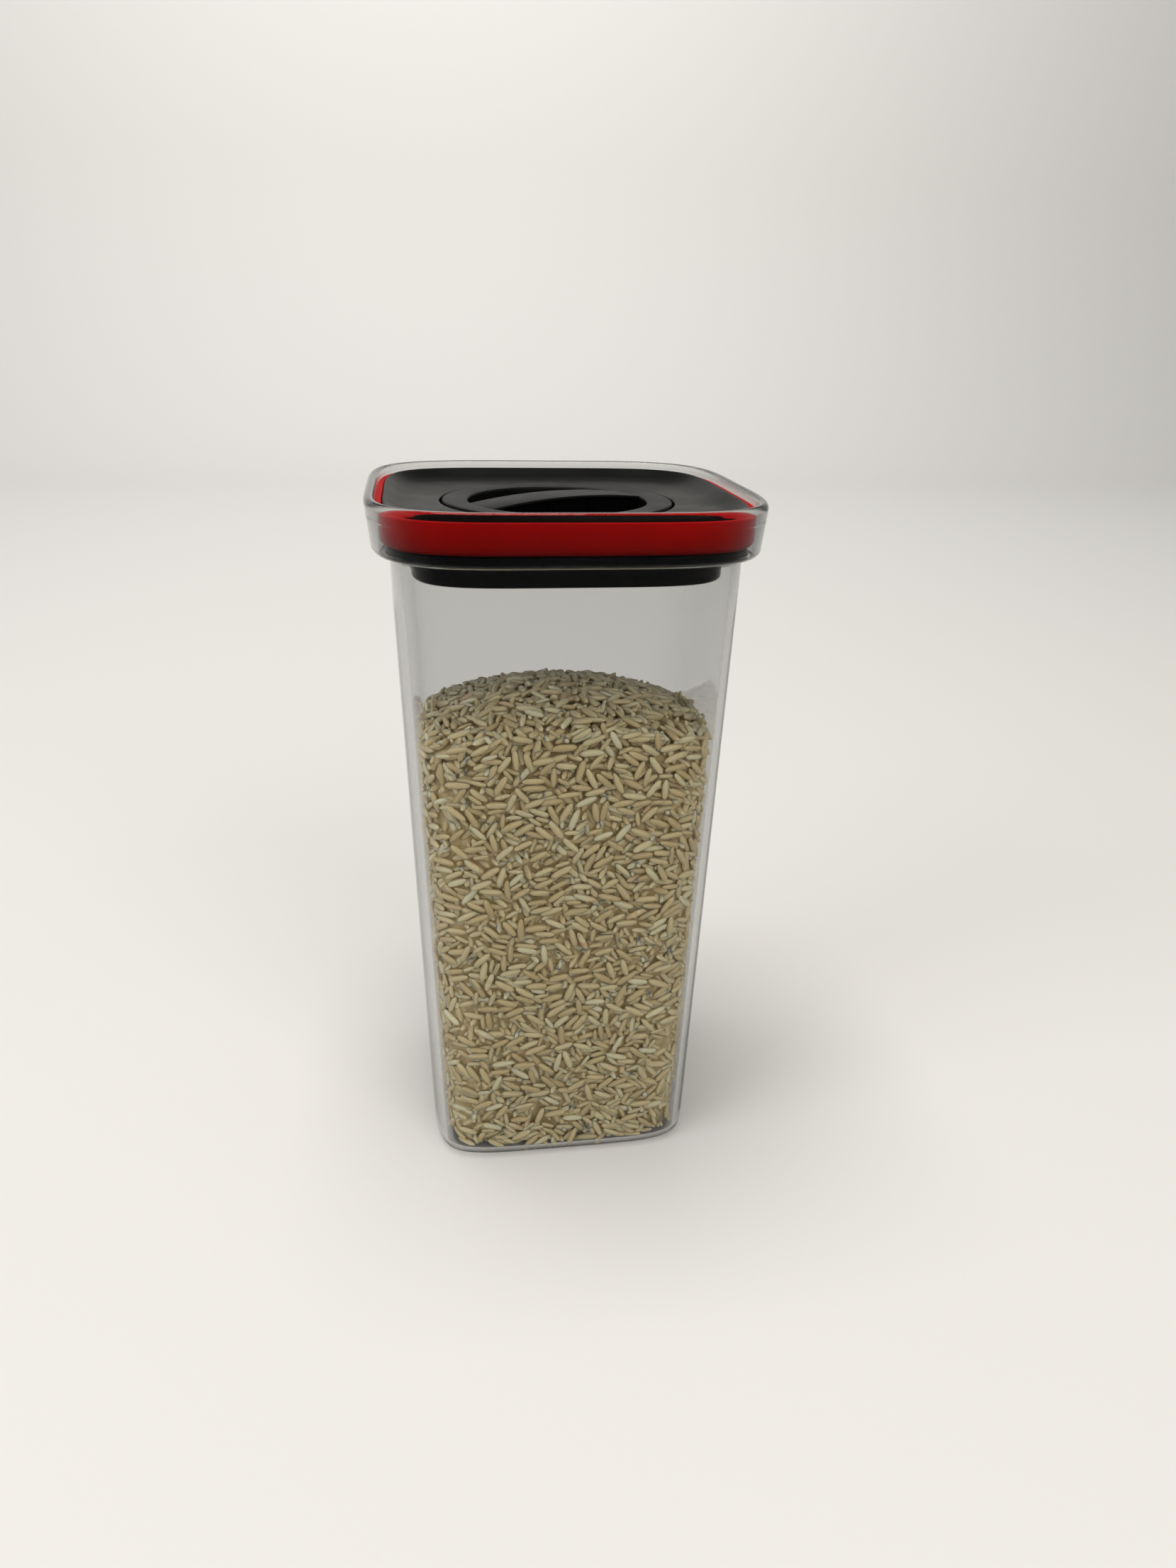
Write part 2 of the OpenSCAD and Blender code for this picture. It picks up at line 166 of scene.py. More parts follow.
@dataclass(frozen=True)
class Finish:
    """A procedural finish, whose patterns lie on the piece's Object coordinates."""

    name: str

    def build(self) -> Material:
        """Builds the material.

        Returns:
            The material.
        """
        made = bpy.data.materials.new(self.name)
        made.use_nodes = True
        tree = made.node_tree
        tree.nodes.clear()
        add(tree, "ShaderNodeOutputMaterial", self.shade(tree))
        return made

    def shade(self, tree: Tree) -> dict[str, Node]:
        """Adds the nodes of one kind of finish.

        Args:
            tree: The material's node tree.

        Returns:
            The nodes that feed the material's output, by its sockets' names.
        """
        raise NotImplementedError


@dataclass(frozen=True)
class MouldedPlastic(Finish):
    """Moulded plastic with a fine spark-eroded texture, which gives it a satin sheen.

    The real texture is about 0.1 mm wide, too fine to show, so it is drawn 0.5 mm wide.
    """

    dark: str
    light: str
    roughness: float
    grain_mm: float = 0.5
    grain_depth_mm: float = 0.006
    cloud_mm: float = 14.0
    patchy: float = 0.04
    sheen: float = 0.3
    ior: float = 1.5

    def shade(self, tree: Tree) -> dict[str, Node]:
        """Adds a cloudy colour and gloss, and the eroded grain.

        Args:
            tree: The material's node tree.

        Returns:
            The surface.
        """
        place = object_place(tree)
        cloud = add(tree, "ShaderNodeTexNoise", pattern(place, self.cloud_mm, 3.0))
        grain = add(tree, "ShaderNodeTexNoise", pattern(place, self.grain_mm, 2.0))
        stops = (NOISE_LOW, self.dark), (NOISE_HIGH, self.light)
        colour = add(tree, "ShaderNodeValToRGB", {"Fac": cloud}, stops)
        duller = span(NOISE_LOW, NOISE_HIGH, self.roughness - self.patchy, self.roughness + self.patchy)
        rough = add(tree, "ShaderNodeMapRange", {"Value": cloud, **duller})
        bump = add(tree, "ShaderNodeBump", {"Height": grain, "Distance": self.grain_depth_mm * MM})
        return {"Surface": add(
            tree, "ShaderNodeBsdfPrincipled",
            {"Base Color": colour, "Roughness": rough, "Specular IOR Level": self.sheen,
             "Normal": bump, "IOR": self.ior},
        )}


@dataclass(frozen=True)
class Silicone(Finish):
    """Red moulded silicone rubber: saturated, with little sheen, and with painted shade that darkens it
    towards its foot.

    Its moulded skin is finer than it can show, so it is drawn 0.9 mm wide.
    """

    name: str = "red_silicone"
    deep: str = "#940000"
    bright: str = "#AC0100"
    cloud_mm: float = 22.0
    # Painted shade: the grey that the red is multiplied by at the foot, fading out between these heights.
    painted_shade_tint: str = "#C0C0C0"
    painted_shade_z: tuple[float, float] = (189.5, 196.5)
    skin_mm: float = 0.9
    skin_depth_mm: float = 0.01
    roughness: float = 0.5
    sheen: float = 0.04
    ior: float = 1.41

    def shade(self, tree: Tree) -> dict[str, Node]:
        """Adds a cloudy red with painted shade that darkens it downwards, and a fine moulded skin.

        Args:
            tree: The material's node tree.

        Returns:
            The surface.
        """
        place = object_place(tree)
        cloud = add(tree, "ShaderNodeTexNoise", pattern(place, self.cloud_mm, 4.0))
        skin_noise = add(tree, "ShaderNodeTexNoise", pattern(place, self.skin_mm, 2.0))
        stops = (NOISE_LOW, self.deep), (NOISE_HIGH, self.bright)
        colour = add(tree, "ShaderNodeValToRGB", {"Fac": cloud}, stops)
        # Painted shade: the red is multiplied darker from the top of this span down to the foot.
        height = add(tree, "ShaderNodeSeparateXYZ", {"Vector": place}).outputs["Z"]
        low, high = self.painted_shade_z
        depth = add(tree, "ShaderNodeMapRange", {"Value": height, **span(low * MM, high * MM, 1.0, 0.0)})
        tint = {MIX_FACTOR: depth, MIX_A: colour, MIX_B: srgb(self.painted_shade_tint)}
        shaded = add(tree, "ShaderNodeMix", tint, **MULTIPLY).outputs[MIX_RESULT]
        bump = add(tree, "ShaderNodeBump", {"Height": skin_noise, "Distance": self.skin_depth_mm * MM})
        return {"Surface": add(
            tree, "ShaderNodeBsdfPrincipled",
            {"Base Color": shaded, "Roughness": self.roughness, "Specular IOR Level": self.sheen,
             "Normal": bump, "IOR": self.ior},
        )}


@dataclass(frozen=True)
class ClearPlastic(Finish):
    """Polished clear styrene-acrylonitrile: glassy and faintly smoked, with scuffs and moulding waves."""

    name: str = "clear_san_plastic"
    tint: str = "#F0F0F0"
    light_tint: str = "#FAFAF8"
    smoke: str = "#7C7C79"
    smoke_density: float = 82.0
    roughness: float = 0.015
    ior: float = 1.5
    mirror: str = "#404040"
    wave_mm: float = 26.0
    wave_depth_mm: float = 0.02
    scuff_mm: float = 3.0
    scuffed: tuple[float, float] = (0.55, 0.75)
    scuff_rough: float = 0.05

    def shade(self, tree: Tree) -> dict[str, Node]:
        """Adds a refracting wall that darkens with depth and lets light through as thin walls do.

        Args:
            tree: The material's node tree.

        Returns:
            The surface, and the volume inside it.
        """
        place = object_place(tree)
        wave = add(tree, "ShaderNodeTexNoise", pattern(place, self.wave_mm, 1.0))
        scuff = add(tree, "ShaderNodeTexNoise", pattern(place, self.scuff_mm, 5.0))
        duller = span(*self.scuffed, self.roughness, self.roughness + self.scuff_rough)
        rough = add(tree, "ShaderNodeMapRange", {"Value": scuff, **duller})
        bump = add(tree, "ShaderNodeBump", {"Height": wave, "Distance": self.wave_depth_mm * MM})
        solid = add(
            tree, "ShaderNodeBsdfPrincipled",
            {"Base Color": srgb(self.tint), "Roughness": rough, "IOR": self.ior,
             "Specular Tint": srgb(self.mirror), "Transmission Weight": 1.0, "Normal": bump},
        )
        lets_through = add(tree, "ShaderNodeBsdfTransparent", {"Color": srgb(self.light_tint)})
        shadow = add(tree, "ShaderNodeLightPath").outputs["Is Shadow Ray"]
        mixed = add(tree, "ShaderNodeMixShader", {"Fac": shadow, 1: solid, 2: lets_through})
        smoke = {"Color": srgb(self.smoke), "Density": self.smoke_density}
        return {"Surface": mixed, "Volume": add(tree, "ShaderNodeVolumeAbsorption", smoke)}


@dataclass(frozen=True)
class RiceGrainFinish(Finish):
    """Milled long-grain rice: translucent cream, some chalky white grains and a few rosy ones."""

    name: str = "milled_rice"
    stops: tuple[tuple[float, str], ...] = (
        (0.0, "#CBB88D"), (0.35, "#D7C498"), (0.7, "#E2D0A5"), (0.88, "#E9DAB0"), (0.94, "#F6E9C2"),
        (0.975, "#F1E2B8"), (0.99, "#DCBC95"),
    )
    chalk_mm: float = 3.0
    chalk: float = 0.08
    streak_mm: float = 0.6
    streak_depth_mm: float = 0.05
    streak: float = 0.6
    roughness: float = 0.42
    milkiness: float = 1.0
    depth_mm: float = 2.2
    depth_tint: Point = (1.0, 0.95, 0.85)
    edge_light: float = 0.14
    edge_rough: float = 0.35
    edge_tint: str = "#EADDB8"
    # Tint of the shade painted on towards the back, and the span in Y over which it comes in; white paints
    # none.
    painted_back_shade: str = "#FFFFFF"
    painted_back_shade_y: tuple[float, float] = (-40.0, 10.0)
    ior: float = 1.5

    def shade(self, tree: Tree) -> dict[str, Node]:
        """Adds the milky grain, coloured by the tone kept on it, with painted shade that greys it towards
        the back.

        Args:
            tree: The material's node tree.

        Returns:
            The surface.
        """
        place = object_place(tree)
        tone = add(tree, "ShaderNodeAttribute", attribute_name="tone", attribute_type="GEOMETRY")
        chalk = add(tree, "ShaderNodeTexNoise", pattern(place, self.chalk_mm, 2.0))
        shift = {0: chalk, 1: self.chalk, 2: tone.outputs["Fac"]}
        shifted = add(tree, "ShaderNodeMath", shift, operation="MULTIPLY_ADD")
        centred = add(tree, "ShaderNodeMath", {0: shifted, 1: self.chalk / 2}, operation="SUBTRACT")
        colour = add(tree, "ShaderNodeValToRGB", {"Fac": centred}, self.stops)
        # Painted shade: the colour is multiplied by the tint from front to back, standing in for the lid's
        # shade on the mound.
        y = add(tree, "ShaderNodeSeparateXYZ", {"Vector": place}).outputs["Y"]
        front, rear = self.painted_back_shade_y
        back = add(tree, "ShaderNodeMapRange", {"Value": y, **span(front * MM, rear * MM)})
        tint = {MIX_FACTOR: back, MIX_A: colour, MIX_B: srgb(self.painted_back_shade)}
        back_shaded = add(tree, "ShaderNodeMix", tint, **MULTIPLY).outputs[MIX_RESULT]
        streak = add(tree, "ShaderNodeTexNoise", pattern(place, self.streak_mm, 2.0))
        depth = self.streak_depth_mm * MM
        bump = add(tree, "ShaderNodeBump", {"Height": streak, "Distance": depth, "Strength": self.streak})
        return {"Surface": add(
            tree, "ShaderNodeBsdfPrincipled",
            {"Base Color": back_shaded, "Roughness": self.roughness, "Subsurface Weight": self.milkiness,
             "Subsurface Radius": self.depth_tint, "Subsurface Scale": self.depth_mm * MM,
             "Sheen Weight": self.edge_light, "Sheen Roughness": self.edge_rough,
             "Sheen Tint": srgb(self.edge_tint), "Normal": bump, "IOR": self.ior},
        )}


@dataclass(frozen=True)
class RiceBed(Finish):
    """The bed of grains behind the ones that show, with painted shade: brown gaps and dim grain shapes."""

    name: str = "rice_bed"
    painted_gap_shade: str = "#B09C6C"
    grain: str = "#CDBC90"
    grain_mm: float = 2.6
    roughness: float = 0.7

    def shade(self, tree: Tree) -> dict[str, Node]:
        """Adds cells the width of a grain, with painted shade in the gaps between them.

        Args:
            tree: The material's node tree.

        Returns:
            The surface.
        """
        place = object_place(tree)
        cells = add(tree, "ShaderNodeTexVoronoi", pattern(place, self.grain_mm))
        # Painted shade: darker gaps between the cells, and grain shapes dimmer than the lit grains in front.
        colour = add(tree, "ShaderNodeValToRGB", {"Fac": cells}, ((0.25, self.grain), (0.7, self.painted_gap_shade)))
        looks = {"Base Color": colour, "Roughness": self.roughness}
        return {"Surface": add(tree, "ShaderNodeBsdfPrincipled", looks)}


@dataclass(frozen=True)
class PlatedSteel(Finish):
    """Zinc-plated steel hardware: bright grey metal with fine brushed streaks, drawn 0.4 mm wide."""

    name: str = "zinc_plated_steel"
    colour: str = "#B9BABD"
    streak_mm: float = 0.4
    roughness: tuple[float, float] = (0.24, 0.42)

    def shade(self, tree: Tree) -> dict[str, Node]:
        """Adds metal whose gloss varies in streaks.

        Args:
            tree: The material's node tree.

        Returns:
            The surface.
        """
        place = object_place(tree)
        streak = add(tree, "ShaderNodeTexNoise", pattern(place, self.streak_mm, 3.0))
        rough = add(tree, "ShaderNodeMapRange", {"Value": streak, **span(0.0, 1.0, *self.roughness)})
        looks = {"Base Color": srgb(self.colour), "Metallic": 1.0, "Roughness": rough}
        return {"Surface": add(tree, "ShaderNodeBsdfPrincipled", looks)}


@dataclass(frozen=True)
class MattPaint(Finish):
    """Matt emulsion paint: an even, near-white ground."""

    name: str = "matt_paint"
    colour: str = "#E6E4E0"
    roughness: float = 0.9

    def shade(self, tree: Tree) -> dict[str, Node]:
        """Adds the plain paint.

        Args:
            tree: The material's node tree.

        Returns:
            The surface.
        """
        looks = {"Base Color": srgb(self.colour), "Roughness": self.roughness}
        return {"Surface": add(tree, "ShaderNodeBsdfPrincipled", looks)}


# ---- Meshes ----


@dataclass(frozen=True)
class Outline:
    """A superellipse that rings are offset from."""

    half: float
    squareness: float

    def ring(self, offset: float, z: float, points: int = RING_POINTS) -> Ring:
        """One ring of points.

        Args:
            offset: How far the ring stands outside the outline.
            z: Its height.
            points: How many points it has.

        Returns:
            An array of points, anticlockwise from above.
        """
        turn = (np.arange(points) + 0.5) * 2 * math.pi / points
        c, s = np.cos(turn), np.sin(turn)
        n = self.squareness
        flat = np.stack([np.sign(c) * abs(c) ** (2 / n), np.sign(s) * abs(s) ** (2 / n)], 1) * self.half
        lean = np.sign(flat) * abs(flat) ** (n - 1)
        lean /= np.linalg.norm(lean, axis=1, keepdims=True)
        return np.column_stack([flat + offset * lean, np.full(points, z)])

    def rings(self, profile: Profile) -> list[Ring]:
        """One ring for each offset and height of a profile."""
        return [self.ring(offset, z) for offset, z in profile]


def circle(radius: float, z: float, points: int = RING_POINTS) -> Ring:
    """One round ring with its points in step with an outline's."""
    turn = (np.arange(points) + 0.5) * 2 * math.pi / points
    return np.column_stack([radius * np.cos(turn), radius * np.sin(turn), np.full(points, z)])


def arc(
    offset: float, z: float, r_offset: float, r_z: float, start: float, end: float, steps: int = 8
) -> Profile:
    """Profile points on an elliptical arc.

    Args:
        offset: Offset of the arc's centre.
        z: Height of the arc's centre.
        r_offset: Radius across.
        r_z: Radius up.
        start: First angle in degrees, from outwards.
        end: Last angle in degrees.
        steps: How many chords it has.

    Returns:
        Offset and height of each point.
    """
    angles = [math.radians(start + (end - start) * i / steps) for i in range(steps + 1)]
    return [(offset + r_offset * math.cos(t), z + r_z * math.sin(t)) for t in angles]


def mesh_object(name: str, points: np.ndarray, faces: Sequence[Sequence[int]]) -> Piece:
    """Makes a smooth-shaded mesh object.

    Args:
        name: The piece's name.
        points: Vertices in millimetres.
        faces: Vertex numbers of each face.

    Returns:
        The object, linked to the scene.
    """
    data = bpy.data.meshes.new(name)
    data.from_pydata((np.asarray(points) * MM).tolist(), [], [list(f) for f in faces])
    data.validate()
    data.shade_smooth()
    made = bpy.data.objects.new(name, data)
    bpy.context.scene.collection.objects.link(made)
    return made


def bands(count: int, rows: int, looped: bool = False) -> list[tuple[int, ...]]:
    """Four-sided faces between rows of points.

    Args:
        count: Points in each row, whose last point meets its first.
        rows: How many rows there are.
        looped: Joins the last row to the first.

    Returns:
        Vertex numbers of each face.
    """
    faces = []
    for j in range(rows if looped else rows - 1):
        low, high = j * count, (j + 1) % rows * count
        faces += [(low + i, low + (i + 1) % count, high + (i + 1) % count, high + i) for i in range(count)]
    return faces


def skin(name: str, rings: Sequence[Ring], looped: bool = False) -> Piece:
    """Makes a closed mesh through rings that run up the outside and then down the inside.

    Args:
        name: The piece's name.
        rings: The rings, all with the same number of points.
        looped: Joins the last ring to the first, and leaves the caps out.

    Returns:
        The object.
    """
    count, levels = len(rings[0]), len(rings)
    faces = bands(count, levels, looped)
    if not looped:
        faces.append(tuple(reversed(range(count))))
        faces.append(tuple((levels - 1) * count + i for i in range(count)))
    return mesh_object(name, np.concatenate(rings), faces)


def box_mesh(low: Point, high: Point, turn: float = 0.0) -> Piece:
    """Makes a block between two corners, turned about the Z axis.

    Args:
        low: Lowest corner.
        high: Highest corner.
        turn: Turn in degrees, after it is placed.

    Returns:
        The object.
    """
    spin = Matrix.Rotation(math.radians(turn), 3, "Z")
    (x0, y0, z0), (x1, y1, z1) = low, high
    corners = [spin @ Vector((x, y, z)) for z in (z0, z1) for y in (y0, y1) for x in (x0, x1)]
    faces = [(0, 2, 3, 1), (4, 5, 7, 6), (0, 1, 5, 4), (2, 6, 7, 3), (0, 4, 6, 2), (1, 3, 7, 5)]
    return mesh_object("block", np.array(corners), faces)


def turn_outwards(piece: Piece) -> None:
    """Points every face of a closed mesh outwards.

    Args:
        piece: The mesh's object.
    """
    work = bmesh.new()
    work.from_mesh(piece.data)
    bmesh.ops.recalc_face_normals(work, faces=work.faces)
    work.to_mesh(piece.data)
    work.free()


def joined(name: str, parts: Sequence[Piece], crisp: float) -> Piece:
    """Joins objects into one, with its sharp edges kept crisp in the shading.

    Args:
        name: The piece's name.
        parts: What it is made of.
        crisp: The angle in degrees from which an edge is sharp.

    Returns:
        The object.
    """
    with bpy.context.temp_override(active_object=parts[0], selected_editable_objects=list(parts)):
        bpy.ops.object.join()
    made = parts[0]
    made.name = made.data.name = name
    made.data.set_sharp_from_angle(angle=math.radians(crisp))
    return made


def finish_piece(piece: Piece, body: Body, material: Material | None) -> None:
    """Gives a piece its material and body, and reports it.

    Args:
        piece: The piece.
        body: The body that it rides on.
        material: Its material, or None if its mesh already has one.
    """
    if material is not None:
        piece.data.materials.clear()
        piece.data.materials.append(material)
    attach(piece, body.value)
    LOG.info("%s: %d faces, rides on %s", piece.name, len(piece.data.polygons), body.value)


# ---- The jar ----


@dataclass
class Jar:
    """The clear jar: tapered square body, rounded shoulder, ledge and collar."""

    height: float = 200.0
    neck: Outline = Outline(46.9, 4.75)
    draft: float = 2.04
    wall: float = 2.0
    base: float = 1.6
    foot: float = 4.5
    rim_out: float = 5.82
    collar_wall: float = 2.8
    pocket_depth: float = 13.0
    collar_lean: float = 1.15
    pocket_lean: float = 0.3
    body_end: float = 1.0
    body_steps: int = 12
    throat: tuple[tuple[float, float], ...] = ((0.0, 0.5), (0.2, 0.2))
    shoulder_start: float = 0.6
    shoulder_height: float = 2.2
    shoulder_rise: float = 1.0
    ledge_fillet: float = 0.3
    ledge_edge: float = 0.4
    rim_height: float = 1.8
    parting_z: float = 195.4
    parting_depth: float = 0.04
    parting_reach: tuple[float, float, float] = (0.4, 0.15, 0.05)
    guard: float = 0.25

    @property
    def ledge_z(self) -> float:
        """Height of the ledge that the lid sits on."""
        return self.height - self.pocket_depth

    @property
    def pocket_off(self) -> float:
        """Offset of the pocket's wall at the ledge."""
        return self.rim_out - self.collar_wall - self.pocket_lean

    @property
    def inner_foot(self) -> float:
        """Radius of the foot's edge inside, at the thickness of the walls."""
        return self.foot - (self.wall + self.base) / 2

    def body_off(self, z: float) -> float:
        """Offset of the body's outer face at a height."""
        return -(self.ledge_z - z) * math.tan(math.radians(self.draft))

    def inner_off(self, z: float) -> float:
        """Offset of the body's inner face, round the foot's edge too.

        Args:
            z: The height.

        Returns:
            The offset.
        """
        radius = self.inner_foot
        below = min(radius, max(0.0, self.base + radius - z))
        return self.body_off(z) - self.wall - radius + math.sqrt(radius * radius - below * below)

    def profile(self) -> Profile:
        """Lists every ring, up the outside and down the inside.

        Returns:
            Offset and height of each ring.
        """
        shoulder_z = self.ledge_z + self.shoulder_rise
        neck_z = shoulder_z - self.shoulder_height
        end_z, steps = neck_z - self.body_end, self.body_steps
        rim_r, rim_z = self.collar_wall / 2, self.height - self.rim_height
        rim_off = self.rim_out - rim_r
        collar_off = self.rim_out - self.collar_lean
        foot, curl = self.foot, self.inner_foot
        foot_off = self.body_off(foot)
        fillet, edge = self.ledge_fillet, self.ledge_edge
        outer = [foot + (end_z - foot) * i / steps for i in range(1, steps + 1)]
        inner = [end_z + (self.base + curl - end_z) * i / steps for i in range(steps)]

        def collar(z: float) -> float:
            """Offset of the collar's outer face at a height."""
            return collar_off + self.collar_lean * (z - shoulder_z) / (rim_z - shoulder_z)

        # Rings close to each bend keep the flat glass beside it shaded flat.
        part, guard, groove = self.parting_z, self.guard, self.parting_depth
        wide, near, close = self.parting_reach
        notch = [
            (shoulder_z + guard, 0.0), (part - wide, 0.0), (part - near, 0.0), (part - close, groove),
            (part + close, groove), (part + near, 0.0), (part + wide, 0.0), (rim_z - guard, 0.0),
        ]
        return [
            *arc(foot_off - foot, foot, foot, foot, -90, 0),
            *[(self.body_off(z), z) for z in outer],
            *[(off, neck_z - drop) for off, drop in self.throat],
            *arc(self.shoulder_start, shoulder_z, collar_off - self.shoulder_start, self.shoulder_height,
                 -90, 0, 14),
            *[(collar(z) - depth, z) for z, depth in notch],
            *arc(rim_off, rim_z, rim_r, self.rim_height, 0, 90, 10),
            *arc(rim_off, self.height - rim_r, rim_r, rim_r, 90, 180, 8)[1:],
            (self.pocket_off + self.pocket_lean, self.height - rim_r - guard),
            (self.pocket_off, self.ledge_z + fillet + guard),
            *arc(self.pocket_off - fillet, self.ledge_z + fillet, fillet, fillet, 0, -90, 4),
            *arc(edge - self.wall, self.ledge_z - edge, edge, edge, 90, 180, 4),
            *[(self.body_off(z) - self.wall, z) for z in inner],
            *arc(foot_off - self.wall - curl, self.base + curl, curl, curl, 0, -90),
        ]

    def build(self, material: Material) -> None:
        """Builds the jar in place of its plain solid.

        Args:
            material: The jar's material.
        """
        jar = skin("jar_body", self.neck.rings(self.profile()))
        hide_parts("canister")
        finish_piece(jar, Body.CANISTER, material)


# ---- Rice ----


class Side(Enum):
    """The wall that a piece of the rice lies behind, with the turn of its middle in degrees."""

    RIGHT = 0
    BACK = 90
    LEFT = 180
    FRONT = 270


@dataclass
class GrainShape:
    """One milled grain: plump, blunt and a little flattened, with a faint bend."""

    length: float = 6.5
    width: float = 2.1
    thickness: float = 1.65
    bluntness: float = 2.9
    bend: float = 0.35
    bend_mean: float = 0.12
    end_step: float = 0.6
    sides: int = 6
    rows: int = 7

    def build(self) -> Piece:
        """Builds the grain, lying along X, from a few dozen faces.

        Returns:
            The grain.
        """

        def sweep(along: float) -> float:
            """How far the bend carries the middle aside, at a share of the length."""
            return self.bend * (self.bend_mean - along * along)

        points: list[Point] = []
        for k in range(self.rows):
            step = math.pi * (k + self.end_step) / (self.rows - 1 + 2 * self.end_step)
            along = -math.copysign(abs(math.cos(step)) ** (2 / self.bluntness), math.cos(step)) / 2
            fat = math.sin(step) / 2
            for i in range(self.sides):
                t = 2 * math.pi * i / self.sides
                y, z = fat * self.width * math.cos(t), fat * self.thickness * math.sin(t)
                points.append((along * self.length, y + sweep(along), z))
        n, tail, last = self.sides, len(points), (self.rows - 1) * self.sides
        points += [(end * self.length, sweep(end), 0.0) for end in (-0.5, 0.5)]
        faces = bands(n, self.rows)
        faces += [(tail, (i + 1) % n, i) for i in range(n)]
        faces += [(tail + 1, last + i, last + (i + 1) % n) for i in range(n)]
        made = mesh_object("grain", np.array(points), faces)
        turn_outwards(made)
        return made


@dataclass
class GrainLayout:
    """Lays grains side by side on a flat sheet, so that none of a layer cuts through another.

    Each kind is a size and a tip in degrees, and its share is how often it is drawn.
    """

    shape: GrainShape
    cell: float = 0.25
    turns: int = 36
    kinds: tuple[tuple[float, float], ...] = (
        (1.02, 0.0), (0.95, 0.0), (0.88, 0.0), (0.66, 0.0), (0.93, 35.0), (0.93, 62.0),
    )
    shares: tuple[float, ...] = (0.22, 0.3, 0.18, 0.08, 0.12, 0.1)
    laps: tuple[float, ...] = (0.0, 0.06, 0.15)
    hidden: float = 0.8
    grain_area: float = 0.85
    tries: int = 14
    lie: float = 44.0

    def stencil(self, turn: float, size: float, tip: float) -> tuple[Cells, Cells]:
        """Finds the cells that one grain covers.

        Args:
            turn: Its turn in radians.
            size: Its size, as a share of the whole shape.
            tip: Its tip in degrees.

        Returns:
            Each cell's steps across and up from the grain's middle.
        """
        shape, tip = self.shape, math.radians(tip)
        length = size * (shape.length * math.cos(tip) + shape.thickness * math.sin(tip))
        reach = int(shape.length / self.cell)
        steps = np.arange(-reach, reach + 1)
        across, up = np.meshgrid(steps, steps)
        along = (across * math.cos(turn) + up * math.sin(turn)) * self.cell
        beside = (up * math.cos(turn) - across * math.sin(turn)) * self.cell
        far = abs(2 * along / length) ** shape.bluntness
        inside = far + (2 * beside / (shape.width * size)) ** 2 <= 1
        return across[inside], up[inside]

    def fill(self, wide: float, high: float, seed: int, covered: Cells | None) -> tuple[np.ndarray, Cells]:
        """Fills a sheet whose left and right edges meet.

        Args:
            wide: Width of the sheet.
            high: Height of the sheet.
            seed: Seed of every random draw.
            covered: Cells that the layers in front cover already, or None.

        Returns:
            Rows of place across, place up, turn in radians, size and tip in degrees, and the cells
            now covered.
        """
        rng = np.random.default_rng(seed)
        cell, shape, turns = self.cell, self.shape, self.turns
        pad = int(shape.length / cell) + 1
        columns, rows = int(wide / cell), int(high / cell)
        taken = np.zeros((rows + 2 * pad, columns), bool)
        seen = np.zeros_like(taken) if covered is None else covered
        stencils = [[self.stencil(math.pi * k / turns, *kind) for kind in self.kinds] for k in range(turns)]
        count = int(wide * high / (shape.length * shape.width * self.grain_area) * self.tries)
        kept = []
        for lap in self.laps:
            xs, ys = rng.integers(0, columns, count), rng.integers(0, rows, count)
            lies = np.round(rng.normal(0, self.lie, count) / 180 * turns).astype(int) % turns
            kinds = rng.choice(len(self.kinds), count, p=self.shares)
            for x, y, k, kind in zip(xs, ys, lies, kinds):
                across, up = stencils[k][kind]
                cols, lines = (across + x) % columns, up + y + pad
                if taken[lines, cols].mean() > lap or seen[lines, cols].mean() > self.hidden:
                    continue
                taken[lines, cols] = True
                kept.append((x * cell, y * cell, math.pi * k / turns, *self.kinds[kind]))
        return np.array(kept), seen | taken


